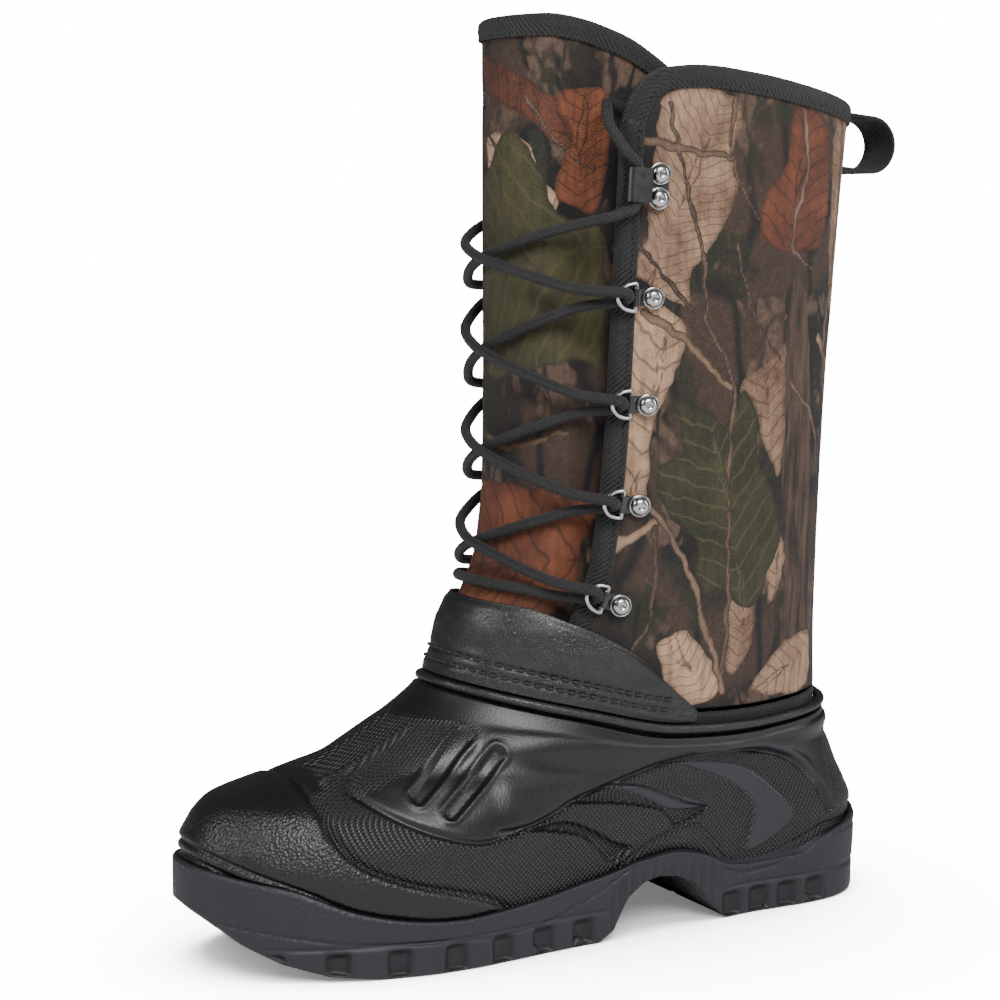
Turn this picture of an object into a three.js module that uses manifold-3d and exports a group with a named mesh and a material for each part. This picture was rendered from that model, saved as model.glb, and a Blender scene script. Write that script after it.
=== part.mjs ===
// Insulated hunting boot, left foot: a moulded foam shell on a lugged outsole, a laced fabric shaft,
// a padded tongue and an insulated bootie. Millimetres, +Z up, toe towards -Y, the wearer's left is +X.
import * as THREE from 'three';
import { mergeVertices } from 'three/addons/utils/BufferGeometryUtils.js';
import Module from 'manifold-3d';

const wasm = await Module();
wasm.setup();

// ---------------------------------------------------------------- driving dimensions
const SOLE_LENGTH = 314;          // last bottom, toe to heel
const SOLE_WIDTH = 108;           // widest place of the sole, at the ball
const SHAFT_TOP = 349;            // ground to the rim at the back
const GAP = 0.3;                  // clearance between pieces that touch

const SHELL_WALL = 4;             // moulded shell
const COLLAR_FLARE = 3.4;         // how far the shell stands off the fabric at its rim
const SOLE_WALL = 2.7;            // outsole wrap around the shell
const LUG_DEPTH = 5;
const LUG_SLOT = 4;
const FABRIC = 1.2;               // printed face fabric
const FOAM = 4.6;                 // quilted insulation with fleece face
const LEATHER = 1.5;
const BINDING_LEAF = 1.2;         // thickness of the edge binding
const BINDING_WIDTH = 8;
const BINDING_WRAP = 1.5;         // how far the binding stands past the edge
const WELT = 1.6;
const BEAD_RADIUS = 2.2;
const BOOTIE = 4.4;
const INSOLE = 5.5;
const INSOLE_MARGIN = 6;          // insole, in from the bootie's wall
const TONGUE_FOAM = 4;
const TONGUE_TOP = 385;
const STAY_WIDTH = 22;
const STAY_THICKNESS = 1;
const GUSSET = 0.8;

const EDGE_ANGLE_LOW = 50;        // flap edge, degrees round from the front, at the ankle
const EDGE_ANGLE_HIGH = 55;       // and at the rim
const LACE_ROWS = [270, 226, 185, 147];   // heights of the ring pairs, top to bottom
const HOOK_ROW = 316;
const LACE_DIAMETER = 4.6;
const WIRE = 1.1;                 // ring wire radius
const RING_HALF = 5.6;            // half the straight bar of a ring
const RING_REACH = 9.4;           // from the bar to the crown of the bow
const RING_TILT = 28;             // how far the lace lifts the ring off the flap, degrees
const BAR_INSET = 7.5;            // bar, back from the flap edge
const BAR_LIFT = 4;               // bar, above the fabric
const CLIP_PLATE = 1;
const CLIP_WIDTH = 7;
const CLIP_TAIL = 11.5;
const EYE_ROOM = 0.35;            // clip's eye, round the bar
const RIVET_RADIUS = 4.7;
const RIVET_INSET = 7.5;          // rivet, back from the bar
const RIVET_DOME = [[1, 0], [1, 0.8], [0.87, 2.2], [0.53, 3.2], [0, 3.6]];   // share of the radius, height
const HOOK_HEIGHT = 14;
const HOOK_FOLD = 3.6;            // fold of the hook, ahead of the bar line
const HOOK_LIP = 3.2;             // end of its lip, behind the bar line
const HOOK_THROAT = 5.3;          // room for the lace inside the hook
const HOOK_RIVET_PITCH = 10.2;
const LOOP_WIDTH = 22;
const LOOP_TAPE = 1.8;
const LOOP_OPENING = 22.6;        // finger opening between the legs of the pull loop
const LOOP_REACH = 33;
const LOOP_HEIGHT = 337;          // pull loop, centre of its base
const LOOP_CUT = 15;              // radius at which the loop leaves its sewn base

// ---------------------------------------------------------------- the last
// Each ring of the last is drawn round the boot: y runs from front to back, and the height z and the
// half widths (lateral and medial, from the middle line) are curves over s, 0 at the front, 1 at the back.
const LAST = { length: 314, width: 108, top: 349, collar: 108 };
const S5 = [0, 0.25, 0.5, 0.75, 1];
const RINGS = [
  { y: [-157, 157], z: [[0, 41], [0.05, 37.5], [0.09, 35], [0.17, 23], [0.26, 16], [0.32, 14], [0.41, 15],
    [0.52, 22], [0.6, 31], [0.64, 33], [0.68, 30], [0.74, 18], [0.78, 16], [0.85, 16], [0.9, 25], [1, 34]],
    lateral: [66, 60, 46, 44, 72], medial: [66, 54, 38, 40, 72], middle: [-8, -2, 0] },
  { y: [-157, 157], z: [50, 34, 42, 36, 42], lateral: [66, 61, 49, 46, 73], medial: [66, 55, 40, 42, 73],
    middle: [-8, -2, 0] },
  { y: [-154, 154], z: [57, 46, 50, 48, 50], lateral: [63, 61, 50, 46, 71], medial: [62, 55, 41, 42, 71],
    middle: [-8, -2, 0] },
  { y: [-146, 150], z: [66, 58, 59, 58, 58], lateral: [58, 58, 49, 45, 68], medial: [56, 52, 41, 42, 68],
    middle: [-8, -2, 0] },
  { y: [-118, 146], z: [74, 70, 68, 67, 68], lateral: [50, 54, 47, 44, 64], medial: [48, 48, 40, 41, 64],
    middle: [-7, -2, 0] },
  { y: [-84, 141], z: [84, 82, 77, 75, 77], lateral: [46, 48, 45, 44, 61], medial: [44, 44, 40, 41, 61],
    middle: [-5, -1, 0] },
  { y: [-48, 137], z: [108, 97, 87, 85, 88], lateral: [47, 46, 45, 45, 59], medial: [45, 44, 43, 43, 59],
    middle: [-2, 0, 0] },
  { y: [-37, 136], z: [136, 126, 118, 115, 118], lateral: [50, 49, 47, 47, 59], medial: [48, 47, 46, 46, 59],
    middle: [0, 0, 0] },
  { y: [-24, 136], z: [166, 158, 152, 149, 149], lateral: [54, 51, 49, 49, 60], medial: [53, 50, 48, 48, 60],
    middle: [0, 0, 0] },
  { y: [-20, 138], z: [215, 212, 209, 206, 205], lateral: [57, 54, 51, 52, 61], medial: [57, 53, 50, 51, 61],
    middle: [0, 0, 0] },
  { y: [-20, 143], z: [290, 285, 280, 275, 270], lateral: [58, 56, 53, 54, 62], medial: [58, 56, 53, 54, 62],
    middle: [0, 0, 0] },
  { y: [-20, 151], z: [390, 380, 371, 361, 352], lateral: [60, 58, 55, 56, 64], medial: [60, 58, 55, 56, 64],
    middle: [0, 0, 0] },
];
// Height of the seat of the foot over s.
const FLOOR = [[0, 40], [0.05, 38], [0.1, 32], [0.2, 22], [0.35, 18], [0.5, 23], [0.64, 30], [0.8, 28],
  [0.9, 30], [1, 33]];
// Height of the shaft's rim, by degrees back from the flap edge, and of the gaiter's top, by angle.
const RIM = [[0, 342], [2, 350], [6, 358], [12, 362.5], [25, 364], [43, 361.5], [65, 357], [95, 351.5],
  [125, 349]];
const GAITER_TOP = [[0, 143], [30, 141], [51, 134], [70, 122], [85, 105], [95, 93]];
const GAITER_END = 94;

const radians = THREE.MathUtils.degToRad;
const lerp = THREE.MathUtils.lerp;
const smooth = THREE.MathUtils.smoothstep;
const V = (x, y, z) => new THREE.Vector3(x, y, z);

/** Monotone cubic through the knots (xs, ys). */
function curve(xs, ys) {
  const n = xs.length;
  const d = xs.slice(1).map((x, i) => (ys[i + 1] - ys[i]) / (x - xs[i]));
  const m = xs.map((_, i) => {
    if (i === 0) return d[0];
    if (i === n - 1) return d[n - 2];
    if (d[i - 1] * d[i] <= 0) return 0;
    return (2 * d[i - 1] * d[i]) / (d[i - 1] + d[i]);
  });
  return (x) => {
    let i = 0;
    while (i < n - 2 && x > xs[i + 1]) i += 1;
    const h = xs[i + 1] - xs[i];
    const t = (x - xs[i]) / h;
    const t2 = t * t;
    const t3 = t2 * t;
    return (2 * t3 - 3 * t2 + 1) * ys[i] + (t3 - 2 * t2 + t) * h * m[i]
      + (3 * t2 - 2 * t3) * ys[i + 1] + (t3 - t2) * h * m[i + 1];
  };
}
const pairs = (table) => curve(table.map((p) => p[0]), table.map((p) => p[1]));
const stations = (values) => (Array.isArray(values[0]) ? pairs(values) : curve(S5, values));

const lengthScale = SOLE_LENGTH / LAST.length;
const widthScale = SOLE_WIDTH / LAST.width;
const riseScale = (SHAFT_TOP - LAST.collar) / (LAST.top - LAST.collar);
const rise = (z) => (z <= LAST.collar ? z : LAST.collar + (z - LAST.collar) * riseScale);

const rings = RINGS.map((ring) => ({
  y: ring.y,
  z: stations(ring.z),
  lateral: curve(S5, ring.lateral),
  medial: curve(S5, ring.medial),
  middle: curve([0, 0.5, 1], ring.middle),
}));
const floorHeight = pairs(FLOOR);
const rimOffset = pairs(RIM);
const gaiterTop = pairs(GAITER_TOP);
const COLLAR = 6;                 // index of the ring at the rim of the shell
const ROUNDNESS = 0.92;           // 1 makes each half ring a circle, less makes it squarer
const share = (angle) => (1 - Math.cos(radians(angle))) / 2;

/** Point of ring k at an angle round the boot: 0 front, 90 lateral, 180 back, negative medial. */
function ringPoint(k, angle) {
  const ring = rings[k];
  const s = share(angle);
  const side = Math.sin(radians(angle));
  const half = side >= 0 ? ring.lateral(s) : ring.medial(s);
  const x = ring.middle(s) + Math.sign(side) * Math.abs(side) ** ROUNDNESS * half;
  const y = ring.y[0] + s * (ring.y[1] - ring.y[0]);
  return V(x * widthScale, y * lengthScale, rise(ring.z(s)));
}

/** The last's surface by ring number t. */
function byRing(angle, t) {
  const points = rings.map((_, k) => ringPoint(k, angle));
  const index = points.map((_, k) => k);
  return V(...['x', 'y', 'z'].map((c) => curve(index, points.map((p) => p[c]))(t)));
}

/** The last's surface by height z. */
function byHeight(angle, z) {
  const points = rings.map((_, k) => ringPoint(k, angle)).slice(COLLAR);
  const heights = points.map((p) => p.z);
  return V(curve(heights, points.map((p) => p.x))(z), curve(heights, points.map((p) => p.y))(z), z);
}

/** Outward normal of a surface function at (angle, v). */
function normalOf(surface, angle, v, dv) {
  const round = surface(angle + 0.5, v).sub(surface(angle - 0.5, v));
  const up = surface(angle, v + dv).sub(surface(angle, v - dv));
  return round.cross(up).normalize();
}
const onShell = (angle, t, off = 0) =>
  byRing(angle, t).addScaledVector(normalOf(byRing, angle, Math.max(t, 0.02), 0.02), off);
const onShaft = (angle, z, off = 0) =>
  byHeight(angle, z).addScaledVector(normalOf(byHeight, angle, z, 0.5), off);
const collarHeight = (angle) => ringPoint(COLLAR, angle).z;

// ---------------------------------------------------------------- building bodies
const group = new THREE.Group();

const FINISH = {
  soleRubber: { color: 0x3a3e45, roughness: 0.7 },
  shellFoam: { color: 0x17181b, roughness: 0.45 },
  printedFabric: { color: 0x6b5a45, roughness: 0.85 },
  fleece: { color: 0x55544f, roughness: 0.95 },
  felt: { color: 0x8a8a88, roughness: 0.9 },
  blackTwill: { color: 0x0b0b0c, roughness: 0.85 },
  webbing: { color: 0x0a0a0b, roughness: 0.9 },
  leather: { color: 0x1a1a1c, roughness: 0.42 },
  brightMetal: { color: 0xc0c0c2, roughness: 0.2, metalness: 1 },
  darkMetal: { color: 0x4a4a4d, roughness: 0.35, metalness: 1 },
  laceCord: { color: 0x121213, roughness: 0.8 },
  laceTip: { color: 0x1a1a1a, roughness: 0.3 },
};

/** Name a geometry, give it its finish and add it to the boot. */
function add(name, geometry, finish) {
  const mesh = new THREE.Mesh(geometry, new THREE.MeshStandardMaterial(finish));
  mesh.name = name;
  group.add(mesh);
  return mesh;
}

/** Turn triangles outwards, drop flat ones and return a geometry. */
function bodyFrom(points, faces) {
  const kept = faces.filter(([a, b, c]) => {
    const [p, q, r] = [points[a], points[b], points[c]];
    return q.clone().sub(p).cross(r.clone().sub(p)).length() > 1e-6;
  });
  const volume = kept.reduce((sum, [a, b, c]) => sum + points[a].dot(points[b].clone().cross(points[c])), 0);
  const index = kept.flatMap(([a, b, c]) => (volume > 0 ? [a, b, c] : [a, c, b]));
  const geometry = new THREE.BufferGeometry();
  geometry.setAttribute('position', new THREE.Float32BufferAttribute(points.flatMap((p) => p.toArray()), 3));
  geometry.setIndex(index);
  return mergeVertices(geometry, 1e-3);
}

/**
 * Closed body between two grids of points, outer[i][j] and inner[i][j].
 * wrap joins the last column to the first; zipped leaves the last row without a wall, because there the
 * two sides of a floor meet on its middle line.
 */
function slab(outer, inner, { wrap = false, zipped = false } = {}) {
  const columns = outer.length;
  const rows = outer[0].length;
  const points = [...outer.flat(), ...inner.flat()];
  const at = (layer, i, j) => layer * columns * rows + (i % columns) * rows + j;
  const faces = [];
  const quad = (a, b, c, d) => faces.push([a, b, c], [a, c, d]);
  const spans = wrap ? columns : columns - 1;
  for (let i = 0; i < spans; i += 1) {
    for (let j = 0; j < rows - 1; j += 1) {
      quad(at(0, i, j), at(0, i + 1, j), at(0, i + 1, j + 1), at(0, i, j + 1));
      quad(at(1, i, j), at(1, i, j + 1), at(1, i + 1, j + 1), at(1, i + 1, j));
    }
    quad(at(0, i, 0), at(1, i, 0), at(1, i + 1, 0), at(0, i + 1, 0));
    if (!zipped) {
      quad(at(0, i, rows - 1), at(0, i + 1, rows - 1), at(1, i + 1, rows - 1), at(1, i, rows - 1));
    }
  }
  if (!wrap) {
    for (let j = 0; j < rows - 1; j += 1) {
      quad(at(0, 0, j), at(0, 0, j + 1), at(1, 0, j + 1), at(1, 0, j));
      const last = columns - 1;
      quad(at(0, last, j), at(1, last, j), at(1, last, j + 1), at(0, last, j + 1));
    }
  }
  return bodyFrom(points, faces);
}

/** Closed body through a row of equal sections; ring joins the last section to the first. */
function loft(sections, ring = false) {
  const n = sections.length;
  const m = sections[0].length;
  const points = sections.flat();
  const at = (i, j) => (i % n) * m + (j % m);
  const faces = [];
  for (let i = 0; i < (ring ? n : n - 1); i += 1) {
    for (let j = 0; j < m; j += 1) {
      faces.push([at(i, j), at(i + 1, j), at(i + 1, j + 1)], [at(i, j), at(i + 1, j + 1), at(i, j + 1)]);
    }
  }
  if (!ring) {
    const cap = THREE.ShapeUtils.triangulateShape(flatten(sections[0]), []);
    cap.forEach(([a, b, c]) => faces.push([a, b, c]));
    cap.forEach(([a, b, c]) => faces.push([(n - 1) * m + a, (n - 1) * m + c, (n - 1) * m + b]));
  }
  return bodyFrom(points, faces);
}

/** A plane section's points in their own plane. */
function flatten(section) {
  const normal = V(0, 0, 0);
  section.forEach((p, i) => normal.add(p.clone().cross(section[(i + 1) % section.length])));
  normal.normalize();
  const across = section[1].clone().sub(section[0]).normalize();
  const along = normal.clone().cross(across);
  return section.map((p) => new THREE.Vector2(p.dot(across), p.dot(along)));
}

/** Columns of points: column(i) for each of the angles, one point for each row value. */
const grid = (angles, rows, point) => angles.map((angle) => rows.map((row) => point(angle, row)));
const spread = (from, to, count) => Array.from({ length: count + 1 }, (_, i) => lerp(from, to, i / count));
const around = (count) => Array.from({ length: count }, (_, i) => (i * 360) / count - 180);

/** Round section of a cord or wire at a point, on two unit vectors. */
function disc(centre, u, v, radius, sides) {
  return Array.from({ length: sides }, (_, k) => {
    const a = (k * 2 * Math.PI) / sides;
    return centre.clone().addScaledVector(u, radius * Math.cos(a)).addScaledVector(v, radius * Math.sin(a));
  });
}

/** Closed round tube through a loop or a line of points. */
function tube(points, radius, sides, ring = false) {
  const n = points.length;
  let u = null;
  const sections = points.map((p, i) => {
    const before = ring ? points[(i - 1 + n) % n] : points[Math.max(i - 1, 0)];
    const after = ring ? points[(i + 1) % n] : points[Math.min(i + 1, n - 1)];
    const along = after.clone().sub(before).normalize();
    if (!u) u = Math.abs(along.z) < 0.9 ? V(0, 0, 1) : V(1, 0, 0);
    u = u.clone().addScaledVector(along, -u.dot(along)).normalize();
    return disc(p, u, along.clone().cross(u), radius, sides);
  });
  return loft(sections, ring);
}

const toManifold = (geometry) => {
  const merged = geometry.clone();
  merged.deleteAttribute('normal');
  merged.deleteAttribute('uv');
  const closed = mergeVertices(merged, 1e-4);
  return new wasm.Manifold(new wasm.Mesh({
    numProp: 3,
    vertProperties: new Float32Array(closed.attributes.position.array),
    triVerts: new Uint32Array(closed.index.array),
  }));
};
const fromManifold = (solid) => {
  const mesh = solid.getMesh();
  const geometry = new THREE.BufferGeometry();
  geometry.setAttribute('position', new THREE.BufferAttribute(new Float32Array(mesh.vertProperties), 3));
  geometry.setIndex(new THREE.BufferAttribute(new Uint32Array(mesh.triVerts), 1));
  return geometry;
};

// ---------------------------------------------------------------- bottom: outsole, shell, bootie, insole
const FLOOR_STEPS = [0.82, 0.55, 0.28, 0];   // shares of the half width, from the wall to the middle line
const SOLE_LAP = 0.3;             // ring number up to which the outsole wraps the shell
const SHELL_COLUMNS = 40;
const WALL_ROWS = [5.3, 4.9, 4.4, 4, 3, 2, 1, SOLE_LAP, 0];   // ring numbers down the walls
const WELT_ROOM = 0.8;            // shell's rim, off the fabric
const LEAST_STEP = 0.6;           // least height between two rows of an inner wall

/** Point of a floor: a share k out from the middle line to the wall, at the floor's height plus lift. */
function onFloor(angle, k, inset, lift) {
  const edge = onShell(angle, 0, -inset);
  const s = share(angle);
  const [front, back] = rings[0].y;
  const reach = 1 - inset / back;
  const middle = V(rings[0].middle(s) * widthScale, (front + s * (back - front)) * reach * lengthScale, 0);
  return V(lerp(middle.x, edge.x, k), lerp(middle.y, edge.y, k), floorHeight(s) + lift);
}

/** Ring number of the point a little below the rim of the shell. */
function belowRim(angle, drop) {
  return COLLAR - drop / (ringPoint(COLLAR, angle).z - ringPoint(COLLAR - 1, angle).z);
}

/** Shell and bootie are cups: walls along the last, closed by a floor zipped on its middle line. */
function cup(drop, wallOff, lift) {
  return around(SHELL_COLUMNS).map((angle) => {
    const wall = [belowRim(angle, drop), ...WALL_ROWS].map((t) => onShell(angle, t, wallOff(t)));
    if (lift > 0) {
      const floor = floorHeight(share(angle));
      const foot = wall.at(-1);
      foot.z = lift + THREE.MathUtils.clamp(foot.z, floor - 1, floor + 0.5);
      for (let i = wall.length - 2; i > 0; i -= 1) {
        wall[i].z = Math.max(wall[i].z, wall[i + 1].z + LEAST_STEP);
      }
    }
    return [...wall, ...FLOOR_STEPS.map((k) => onFloor(angle, k, -wallOff(0), lift))];
  });
}

const flare = (t) => smooth(t, 4.4, 5.3);

function buildShell() {
  const drop = BEAD_RADIUS + 2 * GAP;
  const outer = cup(drop, (t) => COLLAR_FLARE * flare(t), 0);
  const inner = cup(drop, (t) => lerp(-SHELL_WALL, WELT_ROOM, flare(t)), SHELL_WALL);
  add('moulded_shell', slab(outer, inner, { wrap: true, zipped: true }), FINISH.shellFoam);
}

function buildBootie() {
  const back = (t) => lerp(SHELL_WALL + GAP, WELT + 4 * GAP, flare(t));
  const lift = SHELL_WALL + GAP;
  const outer = cup(1, (t) => -back(t), lift);
  const inner = cup(1, (t) => -back(t) - BOOTIE, lift + BOOTIE);
  add('insulated_bootie', slab(outer, inner, { wrap: true, zipped: true }), FINISH.fleece);
}

function buildInsole() {
  const inset = SHELL_WALL + BOOTIE + INSOLE_MARGIN;
  const low = SHELL_WALL + BOOTIE + 4 * GAP;
  const layer = (lift) => around(32).map((angle) =>
    [0.97, 0.7, 0.35, 0].map((k) => onFloor(angle, k, inset, lift)));
  add('insole', slab(layer(low + INSOLE), layer(low), { wrap: true, zipped: true }), FINISH.felt);
}

const TREAD_SLOTS = [-128, -104, -80, -56, -32, -10, 92, 112, 132];   // middles of the cross slots, y
const SPRING_SLOT = -110;         // slots ahead of this are cut higher, into the toe spring
const CUT_WIDTH = 160;            // cutters reach past both sides of the sole

/** The tread line: toe spring, then the ground, with the arch between the ball and the heel. */
function treadCutter() {
  const shape = new THREE.Shape();
  const y = (value) => value * lengthScale;
  shape.moveTo(y(-175), -5);
  shape.lineTo(y(-175), 33);
  shape.lineTo(y(-158), 26);
  shape.quadraticCurveTo(y(-132), 4, y(-95), 0);
  shape.lineTo(y(9), 0);
  shape.lineTo(y(20), 17);
  shape.quadraticCurveTo(y(36), 24, y(55), 18);
  shape.lineTo(y(73), 0);
  shape.lineTo(y(175), 0);
  shape.lineTo(y(175), -5);
  shape.closePath();
  return new THREE.ExtrudeGeometry(shape, { depth: CUT_WIDTH, curveSegments: 5, bevelEnabled: false })
    .applyMatrix4(new THREE.Matrix4().makeBasis(V(0, 1, 0), V(0, 0, 1), V(1, 0, 0))
      .setPosition(-CUT_WIDTH / 2, 0, 0));
}

function buildOutsole() {
  const wall = SOLE_WALL + GAP;
  const outer = around(SHELL_COLUMNS).map((angle) => {
    const top = onShell(angle, SOLE_LAP, wall);
    const seat = onShell(angle, 0, wall);
    const foot = onShell(angle, 0, wall - 1);
    const flat = FLOOR_STEPS.map((k) => onFloor(angle, k, 1 - wall, 0).setZ(0));
    return [top, seat, foot.clone().setZ(6), foot.clone().setZ(0), ...flat];
  });
  const inner = around(SHELL_COLUMNS).map((angle) => {
    const top = onShell(angle, SOLE_LAP, GAP);
    const seat = onShell(angle, 0, GAP);
    const under = onShell(angle, 0, -2 * GAP);
    const floorZ = floorHeight(share(angle));
    seat.z = Math.min(seat.z, floorZ) - GAP;
    under.z = Math.min(under.z, floorZ) - 4 * GAP;
    const floor = FLOOR_STEPS.map((k) => onFloor(angle, k, 2 * GAP, -2 * GAP));
    return [top, seat, under, under.clone(), ...floor];
  });
  let solid = toManifold(slab(outer, inner, { wrap: true, zipped: true }));
  solid = solid.subtract(toManifold(treadCutter()));
  TREAD_SLOTS.forEach((y) => {
    const slot = new THREE.BoxGeometry(CUT_WIDTH, LUG_SLOT, 2 * LUG_DEPTH);
    slot.translate(0, y * lengthScale, y < SPRING_SLOT ? LUG_DEPTH : 0);
    solid = solid.subtract(toManifold(slot));
  });
  add('outsole', fromManifold(solid), FINISH.soleRubber);
}

const BEAD_RISE = 0.2;            // middle of the bead, above the rim of the shell
const WELT_ROWS = [5.4, 6, 6.22];   // ring numbers up the welt

/** The rolled rim on top of the shell, and the fabric welt that joins the shaft to it. */
function buildCollar() {
  const ring = around(SHELL_COLUMNS).map((angle) =>
    onShaft(angle, collarHeight(angle) + BEAD_RISE, BEAD_RADIUS + 2 * GAP));
  add('collar_bead', tube(ring, BEAD_RADIUS, 6, true), FINISH.shellFoam);
  const welt = (off) => around(SHELL_COLUMNS).map((angle) =>
    WELT_ROWS.map((t) => onShell(angle, t, off)));
  add('collar_welt', slab(welt(-GAP), welt(-GAP - WELT), { wrap: true }), FINISH.blackTwill);
}

// ---------------------------------------------------------------- shaft
const SHAFT_LOW = 8;              // shaft panels start this far above the rim of the shell
const BACK_SEAM = 0.25;           // half the gap between the two sides at the back, degrees
const edgeAngle = (z) => lerp(EDGE_ANGLE_LOW, EDGE_ANGLE_HIGH, (z - rise(130)) / (rise(353) - rise(130)));
const SHAFT_ROWS = [0, 0.08, 0.18, 0.3, 0.5, 0.75, 0.94, 1];
const SHAFT_COLUMNS = [0, 0.02, 0.05, 0.1, 0.18, 0.27, 0.36, 0.45, 0.55, 0.65, 0.75, 0.85, 0.93, 1];

/** Angle and height on one half of the shaft: f runs from the flap edge to the back, v up to the rim. */
function shaftPlace(f, v) {
  const last = 180 - BACK_SEAM;
  const angleTop = lerp(EDGE_ANGLE_HIGH, last, f);
  const top = rise(rimOffset(angleTop - EDGE_ANGLE_HIGH));
  const low = collarHeight(lerp(EDGE_ANGLE_LOW, last, f)) + SHAFT_LOW;
  const z = lerp(low, top, v);
  return { angle: lerp(edgeAngle(z), last, f), z };
}

function buildShaftSide(side, label) {
  const layer = (off) => SHAFT_COLUMNS.map((f) => SHAFT_ROWS.map((v) => {
    const { angle, z } = shaftPlace(f, v);
    return onShaft(side * angle, z, off);
  }));
  add(`shaft_quarter_${label}`, slab(layer(0), layer(-FABRIC)), FINISH.printedFabric);
  const low = -FABRIC - 2 * GAP;
  add(`shaft_insulation_${label}`, slab(layer(low), layer(low - FOAM)), FINISH.fleece);
}

/**
 * A point near an edge of the shaft: a along the surface into the panel, b off the surface.
 * The edge is given by its angle, height and the direction along it.
 */
function nearEdge(angle, z, along, a, b, lift = () => 0) {
  const round = onShaft(angle + 0.5, z).sub(onShaft(angle - 0.5, z));
  const up = onShaft(angle, z + 0.5).sub(onShaft(angle, z - 0.5));
  const normal = round.clone().cross(up).normalize();
  const inward = along.clone().cross(normal).normalize();
  const rr = round.dot(round);
  const ru = round.dot(up);
  const uu = up.dot(up);
  const det = rr * uu - ru * ru;
  const da = (inward.dot(round) * uu - inward.dot(up) * ru) / det;
  const dz = (inward.dot(up) * rr - inward.dot(round) * ru) / det;
  const place = [angle + a * da, z + a * dz];
  return onShaft(...place, b + lift(...place));
}

/** Binding folded over an edge: a U section of two leaves that holds a stack of the given depth. */
function bindEdge(places, depth, width, slack, lift) {
  const top = BINDING_LEAF + slack;
  const low = -depth - slack;
  const section = [
    [width, top], [-BINDING_WRAP, top], [-BINDING_WRAP, low - BINDING_LEAF], [width, low - BINDING_LEAF],
    [width, low], [-slack, low], [-slack, slack], [width, slack]];
  return loft(places.map(({ angle, z }, i) => {
    const before = places[Math.max(i - 1, 0)];
    const after = places[Math.min(i + 1, places.length - 1)];
    const along = onShaft(after.angle, after.z).sub(onShaft(before.angle, before.z)).normalize();
    return section.map(([a, b]) => nearEdge(angle, z, along, a, b, lift));
  }));
}

function buildShaftBinding() {
  const stack = FABRIC + 2 * GAP + FOAM;
  const half = (side) => {
    const front = SHAFT_ROWS.map((v) => shaftPlace(0, v));
    const rim = SHAFT_COLUMNS.slice(1, -1).map((f) => shaftPlace(f, 1));
    return [...front, ...rim].map(({ angle, z }) => ({ angle: side * angle, z }));
  };
  const back = { angle: 180, z: shaftPlace(1, 1).z };
  const medial = half(-1).map((p) => ({ angle: p.angle + 360, z: p.z })).reverse();
  add('top_binding', bindEdge([...half(1), back, ...medial], stack, BINDING_WIDTH, GAP), FINISH.blackTwill);
}

const STAY_RISE = 11;             // lower end of the back stay, above the rim of the shell
const STAY_CLEAR = 1;             // its upper end, below the binding

function buildBackStay() {
  const top = shaftPlace(1, 1).z - BINDING_WIDTH - STAY_CLEAR;
  const low = collarHeight(180) + STAY_RISE;
  const layer = (off) => spread(-1, 1, 4).map((k) => spread(low, top, 8).map((z) => {
    const half = (STAY_WIDTH / 2 / byHeight(180, z).distanceTo(byHeight(179, z))) * k;
    return onShaft(180 + half, z, off);
  }));
  add('back_stay', slab(layer(GAP + STAY_THICKNESS), layer(GAP)), FINISH.blackTwill);
}

const GAITER_RISE = 0.6;          // lower edge of the gaiter, above the bead
const GAITER_LEAST = 3;           // its height where it runs out

function buildGaiter() {
  const angles = spread(-GAITER_END, GAITER_END, 26);
  const layer = (off) => grid(angles, [0, 0.2, 0.5, 0.8, 1], (angle, v) => {
    const low = collarHeight(angle) + BEAD_RADIUS + GAITER_RISE;
    const top = Math.max(rise(gaiterTop(Math.abs(angle))), low + GAITER_LEAST);
    return onShaft(angle, lerp(low, top, v), off);
  });
  const low = BINDING_LEAF + 2.5 * GAP;
  add('ankle_gaiter', slab(layer(low + LEATHER), layer(low)), FINISH.leather);
}

// ---------------------------------------------------------------- tongue
const TONGUE_HALF = 80;           // degrees round from the front
const TONGUE_RIM = [[0, TONGUE_TOP], [25, TONGUE_TOP], [38, TONGUE_TOP - 2], [55, TONGUE_TOP - 8],
  [70, TONGUE_TOP - 18], [80, TONGUE_TOP - 28]];
const tongueRim = pairs(TONGUE_RIM);
const TONGUE_LOW = 9;             // lower edge, above the rim of the shell
const TONGUE_SINK = 1;            // tongue, in from the shaft's face, in front
const TONGUE_SLIP = { low: 9, high: 15 };   // its edges, under the flaps at the ankle and at the rim
const SLIP_HEIGHT = [225, 262];   // heights between which the slip grows
const SLIP_START = { low: 34, high: 22 };   // degrees from the front where the slip starts
const SLIP_END = { low: 52, high: 46 };     // and where it is full

/** The tongue is flush with the shaft in front and slips under the flaps at its sides. */
function tongueOffset(angle, z) {
  const high = smooth(z, rise(SLIP_HEIGHT[0]), rise(SLIP_HEIGHT[1]));
  const depth = lerp(TONGUE_SLIP.low, TONGUE_SLIP.high, high);
  const start = lerp(SLIP_START.low, SLIP_START.high, high);
  const end = lerp(SLIP_END.low, SLIP_END.high, high);
  return -depth * smooth(Math.abs(angle), start, end) - TONGUE_SINK;
}

function tonguePlace(angle, v) {
  const low = collarHeight(angle) + TONGUE_LOW;
  return lerp(low, rise(tongueRim(Math.abs(angle))), v);
}

const TONGUE_ROWS = [0, 0.06, 0.14, 0.25, 0.45, 0.65, 0.75, 0.87, 1];
const TONGUE_HEM = 2;             // the binding stops this far short of the side edges, degrees

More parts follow.
